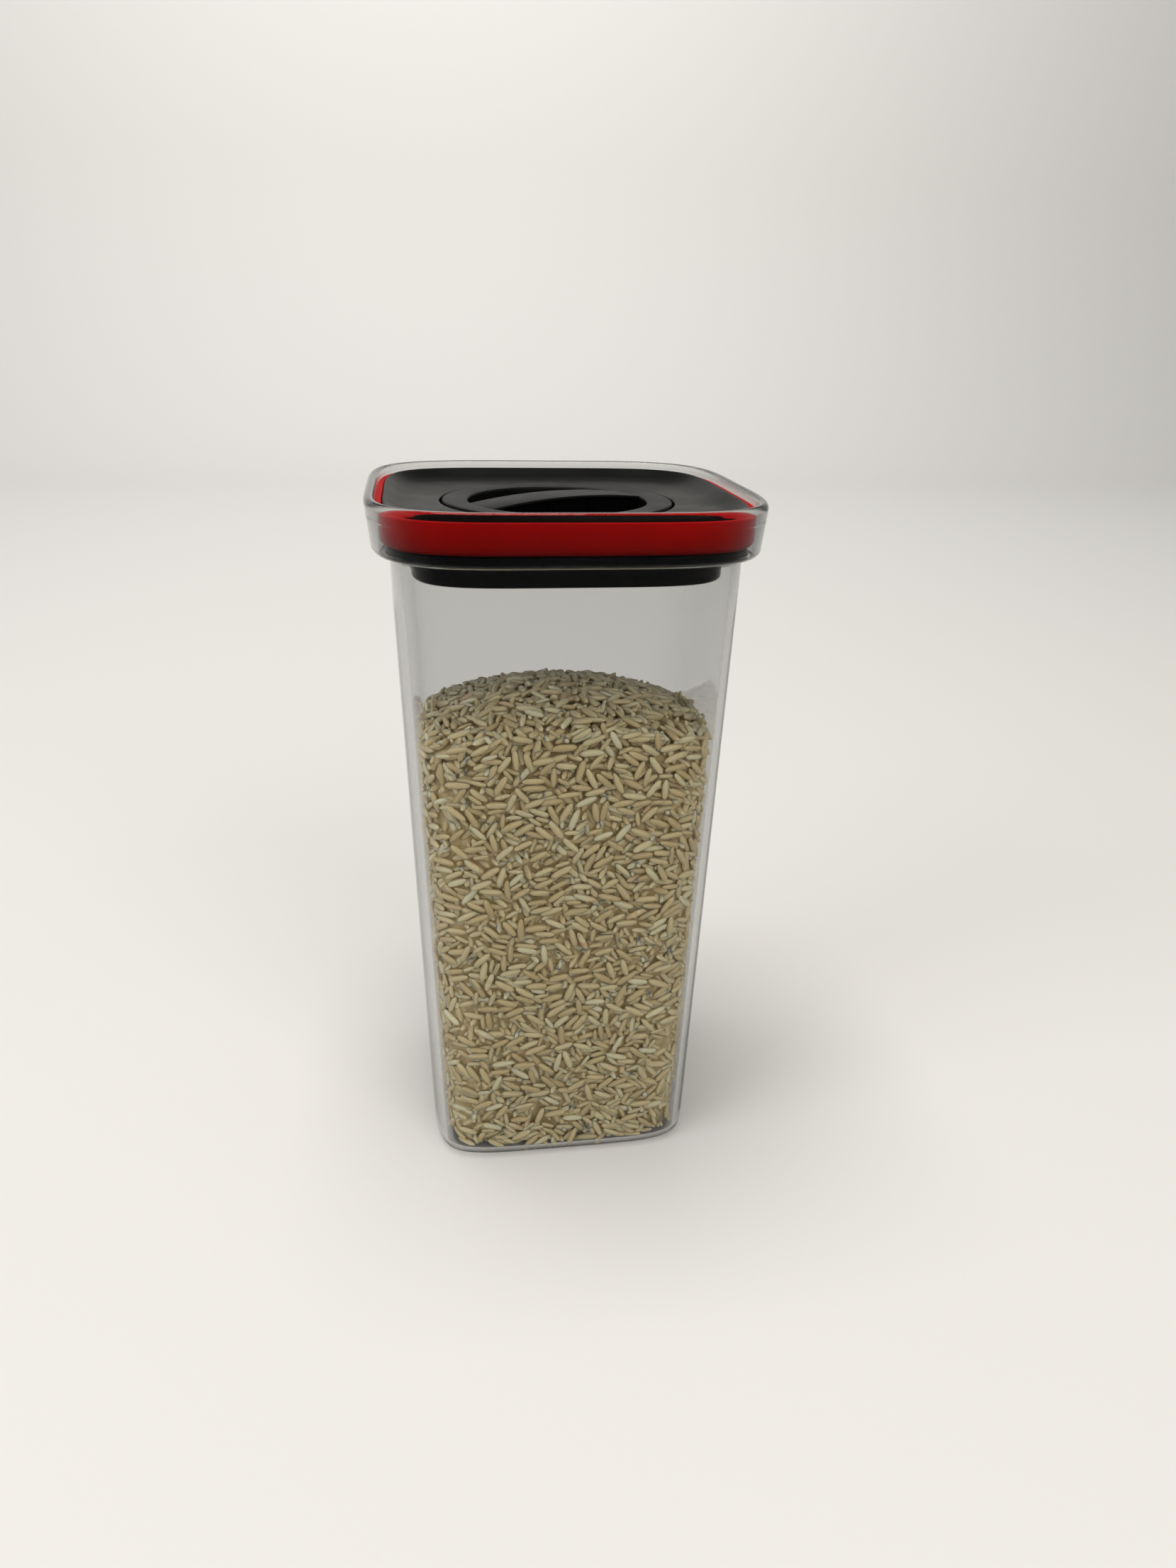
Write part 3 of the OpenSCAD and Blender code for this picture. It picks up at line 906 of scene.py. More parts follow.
@dataclass
class GrainSetter:
    """A Geometry Nodes tree that sets a grain on points, each with its own turn, size and tone."""

    grain: Piece
    name: str = "set_grains"
    tree: Tree = field(init=False)

    def __post_init__(self) -> None:
        """Builds the tree."""
        tree = self.tree = bpy.data.node_groups.new(self.name, "GeometryNodeTree")
        for label, way, kind in (
            ("Points", "INPUT", "Geometry"), ("Grain", "INPUT", "Object"), ("Seed", "INPUT", "Int"),
            ("Material", "INPUT", "Material"), ("Grains", "OUTPUT", "Geometry"),
        ):
            tree.interface.new_socket(label, in_out=way, socket_type=f"NodeSocket{kind}")
        given = add(tree, "NodeGroupInput").outputs
        turn = add(tree, "GeometryNodeInputNamedAttribute", {"Name": "turn"}, data_type="FLOAT_VECTOR")
        size = add(tree, "GeometryNodeInputNamedAttribute", {"Name": "size"}, data_type="FLOAT")
        turned = add(tree, "FunctionNodeEulerToRotation", {0: turn.outputs["Attribute"]})
        shape = add(tree, "GeometryNodeObjectInfo", {"Object": given["Grain"]})
        placed = add(
            tree, "GeometryNodeInstanceOnPoints",
            {"Points": given["Points"], "Instance": shape.outputs["Geometry"], "Rotation": turned,
             "Scale": size.outputs["Attribute"]},
        )
        draw = {2: 0.0, 3: 1.0, "Seed": given["Seed"]}
        tone = add(tree, "FunctionNodeRandomValue", draw, data_type="FLOAT").outputs[1]
        toned = add(
            tree, "GeometryNodeStoreNamedAttribute", {"Geometry": placed, "Name": "tone", "Value": tone},
            data_type="FLOAT", domain="INSTANCE",
        )
        real = add(tree, "GeometryNodeRealizeInstances", {"Geometry": toned})
        dressed = add(tree, "GeometryNodeSetMaterial", {"Geometry": real, "Material": given["Material"]})
        add(tree, "NodeGroupOutput", {"Grains": dressed})

    def lay(self, name: str, laid: Grains, seed: int, material: Material) -> Piece:
        """Sets grains and returns them as one plain mesh.

        Args:
            name: The piece's name.
            laid: Place, turn and size of each grain.
            seed: Seed of the tones.
            material: The grains' material.

        Returns:
            The grains.
        """
        piece = mesh_object(name, np.array([place[:] for place, _, _ in laid]), [])
        data = piece.data
        turns = data.attributes.new("turn", "FLOAT_VECTOR", "POINT")
        turns.data.foreach_set("vector", np.array([turn[:] for _, turn, _ in laid]).ravel())
        sizes = data.attributes.new("size", "FLOAT", "POINT")
        sizes.data.foreach_set("value", [size for _, _, size in laid])
        live = piece.modifiers.new("grains", "NODES")
        live.node_group = self.tree
        values = {"Grain": self.grain, "Seed": seed, "Material": material}
        for item in self.tree.interface.items_tree:
            if item.in_out == "INPUT" and item.name in values:
                live[item.identifier] = values[item.name]
        ready = piece.evaluated_get(bpy.context.evaluated_depsgraph_get())
        piece.data = bpy.data.meshes.new_from_object(ready)
        piece.modifiers.clear()
        piece.data.name = name
        bpy.data.meshes.remove(data)
        piece.data.shade_smooth()
        return piece


@dataclass
class Rice:
    """Long-grain rice: layers of grains behind the walls, on the floor and on the mound."""

    jar: Jar
    shape: GrainShape = field(default_factory=GrainShape)
    crest_z: float = 145.3
    forward: float = 14.0
    front_fall: float = 2.0
    back_fall: float = 15.0
    side_fall: float = 9.0
    slope_step: float = 0.5
    reach: float = 42.4
    wall_clear: float = 1.2
    end_clear: float = 0.4
    floor_clear: float = 0.9
    low_clear: float = 0.2
    top_clear: float = 0.9
    layers: int = 3
    layer_step: float = 0.95
    mound_depth: float = 0.7
    edge_points: int = 1440
    rock: float = 4.0
    roll: float = 4.0
    mound_rock: float = 13.0
    sink: float = 0.3
    wall_seed: int = 11
    mound_seed: int = 51
    floor_seed: int = 61
    wall_tones: int = 70
    mound_tones: int = 81
    floor_tones: int = 82
    rocking_seed: int = 500
    bed_clear: float = 3.1
    bed_low: float = 2.2
    bed_points: int = 96
    bed_steps: int = 10
    bed_shares: tuple[float, float, int] = (1.0, 0.05, 16)

    def surface_z(self, x: float, y: float) -> float:
        """Finds the mound's height above a point of the floor.

        Args:
            x: The point's place to the right.
            y: The point's place to the back.

        Returns:
            The height.
        """
        back = y + self.forward
        fall = self.front_fall if back < 0 else self.back_fall
        reach = self.reach + math.copysign(self.forward, back)
        return self.crest_z - self.side_fall * (x / self.reach) ** 2 - fall * (back / reach) ** 2

    def slope(self, x: float, y: float) -> Vector:
        """Finds the mound's upward normal above a point of the floor.

        Args:
            x: The point's place to the right.
            y: The point's place to the back.

        Returns:
            The normal.
        """
        step = self.slope_step
        dx = (self.surface_z(x + step, y) - self.surface_z(x - step, y)) / (2 * step)
        dy = (self.surface_z(x, y + step) - self.surface_z(x, y - step)) / (2 * step)
        return Vector((-dx, -dy, 1)).normalized()

    def pose(self, lie: Vector, normal: Vector, tip: float, rock: float, rng: np.random.Generator) -> Vector:
        """Turns a grain that lies on a surface, tipped and rocked at random.

        Args:
            lie: The direction it lies along.
            normal: The surface's normal.
            tip: Its tip in degrees.
            rock: Spread of its rocking in degrees.
            rng: What every random draw comes from.

        Returns:
            Its turn, as Euler angles.
        """
        flat = Matrix((lie, normal.cross(lie).normalized(), normal)).transposed()
        tipped = Matrix.Rotation(math.radians(tip + rng.normal(0, rock)), 3, "Y")
        rolled = Matrix.Rotation(math.radians(rng.normal(0, self.roll * rock)), 3, "X")
        return Vector((flat @ tipped @ rolled).to_euler())

    def dip(self, size: float, tip: float) -> float:
        """How much deeper the middle of a tipped grain lies than that of a flat one."""
        return size * (self.shape.length - self.shape.thickness) / 2 * math.sin(math.radians(tip))

    def end(self, size: float) -> float:
        """How far the middle of a grain's rounded end lies from the grain's middle."""
        return size * (self.shape.length - self.shape.width) / 2

    def held(self, spot: Vector) -> bool:
        """Tells whether a grain's end stays clear of the jar's walls and base.

        Args:
            spot: The middle of the grain's rounded end.

        Returns:
            Whether it does.
        """
        room = self.jar.neck.half + self.jar.inner_off(spot.z) - self.end_clear
        n = self.jar.neck.squareness
        inside = abs(spot.x / room) ** n + abs(spot.y / room) ** n <= 1
        return inside and spot.z > self.jar.base + self.floor_clear

    def wall_layer(self, clear: float, seed: int, covered: Cells | None) -> tuple[dict[Side, Grains], Cells]:
        """Lays one layer of grains behind the four walls.

        Args:
            clear: Distance of the grains' middles from the jar's inner face.
            seed: Seed of every random draw.
            covered: Cells that the layers in front cover already, or None.

        Returns:
            Place, turn and size of the grains behind each wall, and the cells now covered.
        """
        jar = self.jar
        low, lean = jar.base + self.wall_clear + self.low_clear, math.radians(jar.draft)
        high = self.crest_z - low
        edge = jar.neck.ring(0, 0, self.edge_points)[:, :2]
        out = jar.neck.ring(1, 0, self.edge_points)[:, :2] - edge
        middle = edge + (jar.body_off(low + high / 2) - jar.wall) * out
        lengths = np.linalg.norm(np.roll(middle, -1, 0) - middle, axis=1)
        starts = np.concatenate([[0], np.cumsum(lengths)])
        grains, covered = GrainLayout(self.shape).fill(starts[-1], high, seed, covered)
        rng = np.random.default_rng(seed + self.rocking_seed)
        laid: dict[Side, Grains] = {side: [] for side in Side}
        for along, up, turn, size, tip in grains:
            i = min(int(np.searchsorted(starts, along, "right")) - 1, len(edge) - 1)
            share, after = (along - starts[i]) / lengths[i], (i + 1) % len(edge)
            outward = (1 - share) * out[i] + share * out[after]
            z = low + up
            inset = jar.inner_off(z) - clear - self.dip(size, tip) - rng.uniform(0, self.sink)
            flat = (1 - share) * edge[i] + share * edge[after] + inset * outward
            if z > self.surface_z(*flat) - self.top_clear:
                continue
            nx, ny = outward / np.linalg.norm(outward)
            level = Vector((-ny, nx, 0))
            rise = Vector((nx * math.sin(lean), ny * math.sin(lean), math.cos(lean)))
            lie = math.cos(turn) * level + math.sin(turn) * rise
            facing = math.degrees(math.atan2(ny, nx)) % 360
            side = min(Side, key=lambda s: abs((facing - s.value + 180) % 360 - 180))
            turned = self.pose(lie, level.cross(rise).normalized(), tip, self.rock, rng)
            spot = Vector((*flat, z))
            end = Euler(turned).to_matrix() @ Vector((self.end(size), 0, 0))
            if self.held(spot + end) and self.held(spot - end):
                laid[side].append((spot, turned, size))
        return laid, covered

    def flat_layer(
        self, height: Callable[[float, float], float], normal: Callable[[float, float], Vector],
        rock: float, seed: int, covered: Cells | None,
    ) -> tuple[Grains, Cells]:
        """Lays one layer of grains across the jar.

        Args:
            height: Height of the grains' middles above a point of the floor.
            normal: Normal of the layer above a point of the floor.
            rock: Spread of the grains' rocking in degrees.
            seed: Seed of every random draw.
            covered: Cells that the layers above cover already, or None.

        Returns:
            Place, turn and size of each grain, and the cells now covered.
        """
        half = self.reach
        grains, covered = GrainLayout(self.shape, lie=90.0).fill(2 * half, 2 * half, seed, covered)
        rng = np.random.default_rng(seed + self.rocking_seed)
        laid = []
        for x, y, turn, size, tip in grains:
            x, y = x - half, y - half
            up = normal(x, y)
            z = height(x, y) - math.copysign(self.dip(size, tip) + rng.uniform(0, self.sink), up.z)
            lie = Vector((math.cos(turn), math.sin(turn), 0))
            lie = (lie - lie.dot(up) * up).normalized()
            spot, end = Vector((x, y, z)), lie * self.end(size) * math.cos(math.radians(tip))
            if self.held(spot + end) and self.held(spot - end):
                laid.append((spot, self.pose(lie, up, tip, rock, rng), size))
        return laid, covered

    def build(self, grains: Material, painted_shade_grains: Material, bed: Material) -> None:
        """Builds the bed and every layer of grains, in place of the plain filling.

        Args:
            grains: Material of the grains behind the walls and on the floor.
            painted_shade_grains: Material of the mound's grains, with painted shade towards the back.
            bed: Material of the bed.
        """
        walls: dict[Side, Grains] = {side: [] for side in Side}
        covered = None
        for number in range(self.layers):
            clear = self.wall_clear + number * self.layer_step
            laid, covered = self.wall_layer(clear, self.wall_seed + number, covered)
            for side in Side:
                walls[side] += laid[side]
        mound: Grains = []
        covered = None
        for number in range(self.layers):
            depth = self.mound_depth + number * self.layer_step
            laid, covered = self.flat_layer(
                lambda x, y: self.surface_z(x, y) - depth, self.slope, self.mound_rock,
                self.mound_seed + number, covered,
            )
            mound += laid
        floor_z, down = self.jar.base + self.wall_clear, Vector((0, 0, -1))
        floor, _ = self.flat_layer(lambda x, y: floor_z, lambda x, y: down, self.rock, self.floor_seed, None)
        setter = GrainSetter(self.shape.build())
        pieces = [(side.name.lower(), walls[side], self.wall_tones + side.value, grains) for side in Side]
        pieces += [("mound", mound, self.mound_tones, painted_shade_grains), ("floor", floor, self.floor_tones, grains)]
        for name, laid, seed, material in pieces:
            finish_piece(setter.lay(f"rice_{name}", laid, seed, material), Body.CANISTER, None)
        self.build_bed(bed)
        bpy.data.objects.remove(setter.grain)

    def build_bed(self, material: Material) -> None:
        """Builds the solid bed behind the grains.

        Args:
            material: The bed's material.
        """
        clear, steps = self.bed_clear, self.bed_steps
        low, high = self.jar.base + self.bed_low, self.crest_z - self.side_fall - self.back_fall - clear

        def ring(z: float) -> Ring:
            """A ring that stands clear of the jar's inner face."""
            return self.jar.neck.ring(self.jar.inner_off(z) - clear, z, self.bed_points)

        rings = [ring(low + (high - low) * i / steps) for i in range(steps + 1)]
        for share in np.linspace(*self.bed_shares):
            top = ring(high)
            top[:, :2] *= share
            top[:, 2] = [self.surface_z(x, y) - clear for x, y in top[:, :2]]
            rings.append(top)
        bed = skin("rice_bed", rings)
        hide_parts("rice_fill")
        finish_piece(bed, Body.CANISTER, material)


# ---- The lid ----

SCREW_HEAD_R = 2.4


@dataclass
class LidSizes:
    """Levels and offsets that the lid's pieces share."""

    jar: Jar
    flange_gap: float = 1.35
    flange: float = 2.0
    seal_gap: float = 0.25
    lip: float = 1.25
    seat_gap: float = 0.2
    running_gap: float = 0.4
    cover_drop: float = 1.8
    edge: float = 2.0
    skirt_in: float = 4.4
    dish: float = 3.0
    wall: float = 1.8
    nick: float = 0.3
    dial_r: float = 32.1
    dial_gap: float = 0.7
    ring_width: float = 7.1
    ring_thick: float = 2.65
    dial_proud: float = 0.4

    @property
    def flange_z(self) -> float:
        """Underside of the flange."""
        return self.jar.ledge_z + self.seat_gap

    @property
    def flange_top(self) -> float:
        """Top of the flange."""
        return self.flange_z + self.flange

    @property
    def gasket_off(self) -> float:
        """Offset of the gasket's outer face."""
        return self.jar.pocket_off - self.seal_gap

    @property
    def cover_off(self) -> float:
        """Offset of the cover's edge."""
        return self.gasket_off - self.lip - self.seat_gap

    @property
    def cover_z(self) -> float:
        """Top of the cover's edge."""
        return self.jar.height - self.cover_drop

    @property
    def skirt_off(self) -> float:
        """Offset of the skirt's outer face."""
        return self.cover_off - self.skirt_in

    @property
    def dial_z(self) -> float:
        """Level of the cover round the dial."""
        return self.cover_z - self.dish

    @property
    def dial_top(self) -> float:
        """Top of the dial's ring."""
        return self.dial_z + self.dial_proud

    @property
    def bowl_r(self) -> float:
        """Radius of the dial's bowl."""
        return self.dial_r - self.ring_width


@dataclass
class PressurePlate:
    """The black plate under the gasket: flange, hollow plug, guide rails and screw bosses."""

    lid: LidSizes
    plug: Outline = Outline(42.2, 4.7)
    plug_depth: float = 7.0
    plug_wall: float = 1.6
    plug_floor: float = 1.8
    toe: float = 1.2
    root: float = 0.08
    mouth: float = 0.2
    tray_edge: float = 0.4
    flange_round: float = 0.8
    rail_at: float = 6.2
    rail: float = 2.0
    boss_r: float = 3.4
    boss_height: float = 2.0
    boss_points: int = 48
    sunk: float = 0.3
    crisp: float = 32.0

    def build(self, material: Material) -> None:
        """Builds the plate in place of its plain solid.

        Args:
            material: The plate's material.
        """
        lid, r, toe, edge, mouth = self.lid, self.flange_round, self.toe, self.lid.nick, self.mouth
        neck, under, top = lid.jar.neck, lid.flange_z, lid.flange_top
        low = lid.jar.ledge_z - self.plug_depth
        tray, inner = low + self.plug_floor, -self.plug_wall
        out = lid.jar.pocket_off - lid.flange_gap
        rings = [
            *self.plug.rings(arc(-toe, low + toe, toe, toe, -90, 0)),
            *self.plug.rings([(0, under - edge), (self.root, under - self.root), (edge, under)]),
            *neck.rings([(out - edge, under), (out, under + edge), *arc(out - r, top - r, r, r, 0, 90)]),
            *self.plug.rings([(inner + mouth, top), (inner, top - mouth)]),
            *self.plug.rings([(inner, tray + self.tray_edge), (inner - self.tray_edge, tray)]),
        ]
        parts = [skin("plate", rings), *self.rails(tray), *self.bosses(tray)]
        plate = joined("plate_moulding", parts, self.crisp)
        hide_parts("pressure_plate")
        finish_piece(plate, Body.PLATE, material)

    def rails(self, tray: float) -> list[Piece]:
        """Builds the pairs of rails that the cover's fins slide between.

        Args:
            tray: Height of the tray's floor.

        Returns:
            The rails.
        """
        inner, width, top = self.plug.half - self.plug_wall, self.rail, self.lid.flange_top - self.mouth
        return [
            box_mesh((inner - width, low, tray - self.sunk), (inner + self.sunk, low + width, top), turn)
            for turn in QUARTERS for low in (self.rail_at, -self.rail_at - width)
        ]

    def bosses(self, tray: float) -> list[Piece]:
        """Builds the screw bosses in the corners of the tray.

        Args:
            tray: Height of the tray's floor.

        Returns:
            The bosses.
        """
        low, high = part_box("socket_screws")
        reach = ((high.x - low.x) / 2 / MM - SCREW_HEAD_R) * math.sqrt(2)
        made = []
        for turn in QUARTERS:
            t = math.radians(turn + 45)
            shift = np.array([reach * math.cos(t), reach * math.sin(t), 0])
            levels = (tray - self.sunk, tray + self.boss_height)
            made.append(skin("boss", [circle(self.boss_r, z, self.boss_points) + shift for z in levels]))
        return made


@dataclass
class Gasket:
    """The red ring that the cover squeezes against the flange."""

    lid: LidSizes
    lower_round: float = 2.7
    lip_round: float = 0.3
    touch: float = 0.1
    lip_drop: float = 0.65
    lift: float = 0.05
    side_steps: int = 6
    bend_end: float = 0.2

    def build(self, material: Material) -> None:
        """Builds the gasket in place of its plain solid.

        Args:
            material: The gasket's material.
        """
        lid, jar, r, lip_r, nick = self.lid, self.lid.jar, self.lower_round, self.lip_round, self.lid.nick
        inner = lid.skirt_off + lid.running_gap
        low = lid.flange_top + self.lift
        lip_z = lid.cover_z - self.lip_drop - lip_r
        shelf = lid.cover_z - lid.edge - lid.seat_gap

        def outer(z: float) -> float:
            """Offset of the gasket's outer face, which touches the pocket's wall."""
            rise = (z - jar.ledge_z) / (jar.height - jar.collar_wall / 2 - jar.ledge_z)
            return jar.pocket_off + jar.pocket_lean * rise - self.touch

        steps = self.side_steps
        side = [low + r + (lip_z - low - r) * i / steps for i in range(1, steps)]
        lip_in = lid.gasket_off - lid.lip
        profile = [
            (inner, low + nick), (inner + nick, low),
            *arc(outer(low + r) - r, low + r, r, r, -90, 0),
            *[(outer(z), z) for z in side],
            *arc(outer(lip_z) - lip_r, lip_z, lip_r, lip_r, 0, 90, 4),
            *arc(lip_in + lip_r, lip_z, lip_r, lip_r, 90, 180, 4),
            (lip_in, shelf + nick), (lip_in - nick, shelf),
            (inner + nick, shelf), (inner, shelf - nick),
        ]
        gasket = skin("gasket_ring", jar.neck.rings(profile), looped=True)
        gasket.data.materials.append(material)
        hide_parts("gasket")
        start, end = (0, 0, low * MM), (0, 0, (lid.cover_z - self.bend_end) * MM)
        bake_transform(gasket)
        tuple(start)
        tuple(end)
        LOG.info("%s: %d faces, bends from plate to cover", gasket.name, len(gasket.data.polygons))


@dataclass
class Cover:
    """The dished black cover with its skirt, guide fins, dial well and bearing collar."""

    lid: LidSizes
    edge_round: float = 0.6
    band_span: float = 6.5
    band_share: float = 0.78
    band_power: float = 1.2
    dish_end: float = -12.5
    dish_steps: int = 26
    square_until: float = 0.35
    well_root: float = 0.08
    web_off: float = -11.5
    web_drop: float = 0.6
    skirt_root: tuple[float, float] = (1.5, 0.8)
    collar_z: float = 187.9
    seat_z: float = 192.25
    bore: float = 28.1
    collar: float = 29.9
    fin_low: Point = (38.6, -6.0, 184.6)
    fin_high: Point = (40.2, 6.0, 194.4)
    crisp: float = 32.0

    def build(self, material: Material) -> None:
        """Builds the cover in place of its plain solid.

        Args:
            material: The cover's material.
        """
        lid, neck, r = self.lid, self.lid.jar.neck, self.edge_round
        well, wall, nick = lid.dial_r + lid.dial_gap, lid.wall, lid.nick
        out, top = lid.cover_off, lid.cover_z
        under, edge_under, skirt_z = lid.dial_z - wall, top - lid.edge, lid.flange_top + lid.running_gap
        skirt_in, (root_in, root_up) = lid.skirt_off - wall, self.skirt_root
        rings = [
            circle(self.bore, self.collar_z), circle(self.collar, self.collar_z),
            circle(self.collar, self.seat_z - wall), circle(well + wall, self.seat_z - wall),
            circle(well + wall, under - self.web_drop),
            *neck.rings([
                (self.web_off, under), (skirt_in - root_in, under + root_up),
                (skirt_in, under + self.web_drop), (skirt_in, skirt_z),
                (lid.skirt_off, skirt_z), (lid.skirt_off, edge_under),
                (out - nick, edge_under), (out, edge_under + nick), *arc(out - r, top - r, r, r, 0, 90),
            ]),
            *self.dish_rings(well),
            circle(well, self.seat_z), circle(self.bore, self.seat_z),
        ]
        fins = [box_mesh(self.fin_low, self.fin_high, turn) for turn in QUARTERS]
        cover = joined("cover_shell", [skin("cover", rings, looped=True), *fins], self.crisp)
        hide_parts("lid_cover")
        finish_piece(cover, Body.COVER, material)

    def dish_rings(self, well: float) -> list[Ring]:
        """Makes the rings from the cover's edge down the dish to the dial's well.

        Args:
            well: Radius of the well.

        Returns:
            The rings, which turn from square to round on the way.
        """
        lid, nick, root = self.lid, self.lid.nick, self.well_root
        start = lid.cover_off - self.edge_round
        rings = []
        for i in range(1, self.dish_steps + 1):
            share = i / self.dish_steps
            off = start + (self.dish_end - start) * share
            fall = math.sin(min(1.0, (start - off) / self.band_span) * math.pi / 2) ** self.band_power
            z = lid.cover_z - lid.dish * (self.band_share * fall + (1 - self.band_share) * share)
            mix = max(0.0, (share - self.square_until) / (1 - self.square_until))
            mix = mix * mix * (3 - 2 * mix)
            rings.append((1 - mix) * lid.jar.neck.ring(off, z) + mix * circle(well + nick, z))
        return [*rings, circle(well + root, lid.dial_z - root), circle(well, lid.dial_z - nick)]


@dataclass
class Dial:
    """The twist dial: a ring round a deep bowl, crossed by a crowned and ribbed grip bar."""

    lid: LidSizes
    bowl_z: float = 184.4
    cup_z: float = 182.6
    cup_wall: float = 3.0
    cup_edge: float = 0.5
    floor_round: float = 2.0
    ring_round: float = 0.6
    ring_dip: float = 0.02
    bowl_drop: float = 0.2
    groove: float = 0.8
    groove_height: float = 1.1
    groove_z: float = 186.7
    bar_width: float = 12.0
    bar_points: int = 161
    bar_crown: float = 1.7
    bar_drop: float = 0.3
    bar_bite: float = 1.0
    bar_angle: float = 28.0
    bar_round: float = 0.35
    round_points: int = 7
    bar_lip: float = 0.75
    lip_edge: float = 0.1
    lip_root: tuple[float, float] = (0.2, 0.3)
    bar_undercut: float = 1.3
    rib_pitch: float = 2.0
    rib_r: float = 0.55
    rib_power: float = 0.6
    rib_margin: float = 4.0
    crisp: float = 40.0

    def build(self, material: Material) -> None:
        """Builds the dial in place of its plain solid.

        Args:
            material: The dial's material.
        """
        dial = joined("twist_dial", [self.cup(), self.bar()], self.crisp)
        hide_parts("dial")
        finish_piece(dial, Body.DIAL, material)

    def cup(self) -> Piece:
        """Builds the ring and bowl, turned about the axis.

        Returns:
            The ring and bowl.
        """
        lid, r, f, edge = self.lid, self.ring_round, self.floor_round, self.cup_edge
        top, bowl, nick = lid.dial_top, lid.bowl_r, lid.nick
        under, cup = top - lid.ring_thick, bowl + self.cup_wall
        low, high, deep = self.groove_z, self.groove_z + self.groove_height, cup - self.groove
        profile = [
            (edge, self.cup_z), (cup - edge, self.cup_z), (cup, self.cup_z + edge),
            (cup, low), (deep, low), (deep, high), (cup, high),
            (cup, under), (lid.dial_r - nick, under), (lid.dial_r, under + nick),
            *arc(lid.dial_r - r, top - r, r, r, 0, 90),
            ((lid.dial_r + bowl) / 2, top - self.ring_dip),
            *arc(bowl + r, top - r - self.bowl_drop, r, r, 90, 180),
            *arc(bowl - f, self.bowl_z + f, f, f, 0, -90),
            (edge, self.bowl_z),
        ]
        return skin("cup", [circle(radius, z) for radius, z in profile])

    def bar(self) -> Piece:
        """Builds the grip bar, with a row of upright ribs down each side.

        Returns:
            The bar.
        """
        bowl, half, r, edge = self.lid.bowl_r, self.bar_width / 2, self.bar_round, self.lip_edge
        reach, (root_in, root_down) = bowl + self.bar_bite, self.lip_root
        turn = Matrix.Rotation(math.radians(self.bar_angle), 3, "Z")
        rounding = np.linspace(0, math.pi / 2, self.round_points)
        rows = []
        for x in np.linspace(-reach, reach, self.bar_points):
            crown = self.lid.dial_top - self.bar_drop + self.bar_crown * (1 - (x / reach) ** 2)
            wave = max(0.0, math.cos(x / self.rib_pitch * 2 * math.pi)) ** self.rib_power
            rib = self.rib_r * wave if abs(x) < bowl - self.rib_margin else 0.0
            inner, lip = half - self.bar_undercut + rib, crown - self.bar_lip
            left = [
                (-inner, self.bowl_z - self.bar_drop), (-inner, lip - root_down), (-inner - root_in, lip),
                (edge - half, lip), (-half, lip + edge),
                *[(-half + r - r * math.cos(t), crown - r + r * math.sin(t)) for t in rounding],
            ]
            section = left + [(-y, z) for y, z in reversed(left)]
            rows.append(np.array([turn @ Vector((x, y, z)) for y, z in section]))
        made = skin("bar", rows)
        turn_outwards(made)
        return made


@dataclass
class Hardware:
    """The inner pieces whose solids are right as they are, with their finishes."""

    steel: Material
    acetal_black: Material
    acetal_white: Material

    def build(self) -> None:
        """Gives each solid its material."""
        finishes = {
            "cam_socket": self.acetal_black, "socket_screws": self.steel, "glide_washer": self.acetal_white,
            "cam_pins": self.steel, "retaining_ring": self.steel,
        }
        for name, material in finishes.items():
            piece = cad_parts[name]
            piece.data.materials.clear()
            piece.data.materials.append(material)
            LOG.info("%s: dressed in %s", name, material.name)


# ---- Studio ----


@dataclass(frozen=True)
class Softbox:
    """One soft light: where it hangs, what it faces, its width and height, its watts and its colour."""

    name: str
    at: Point
    aim: Point
    size: tuple[float, float]
    power: float
    colour: str

    def hang(self) -> None:
        """Hangs the light."""
        data = bpy.data.lights.new(self.name, "AREA")
        data.shape = "RECTANGLE"
        data.size, data.size_y = self.size[0] * MM, self.size[1] * MM
        data.energy = self.power
        data.color = srgb(self.colour)[:3]
        lamp = bpy.data.objects.new(self.name, data)
        lamp.location = Vector(self.at) * MM
        lamp.rotation_euler = (Vector(self.aim) - Vector(self.at)).to_track_quat("-Z", "Y").to_euler()
        bpy.context.scene.collection.objects.link(lamp)


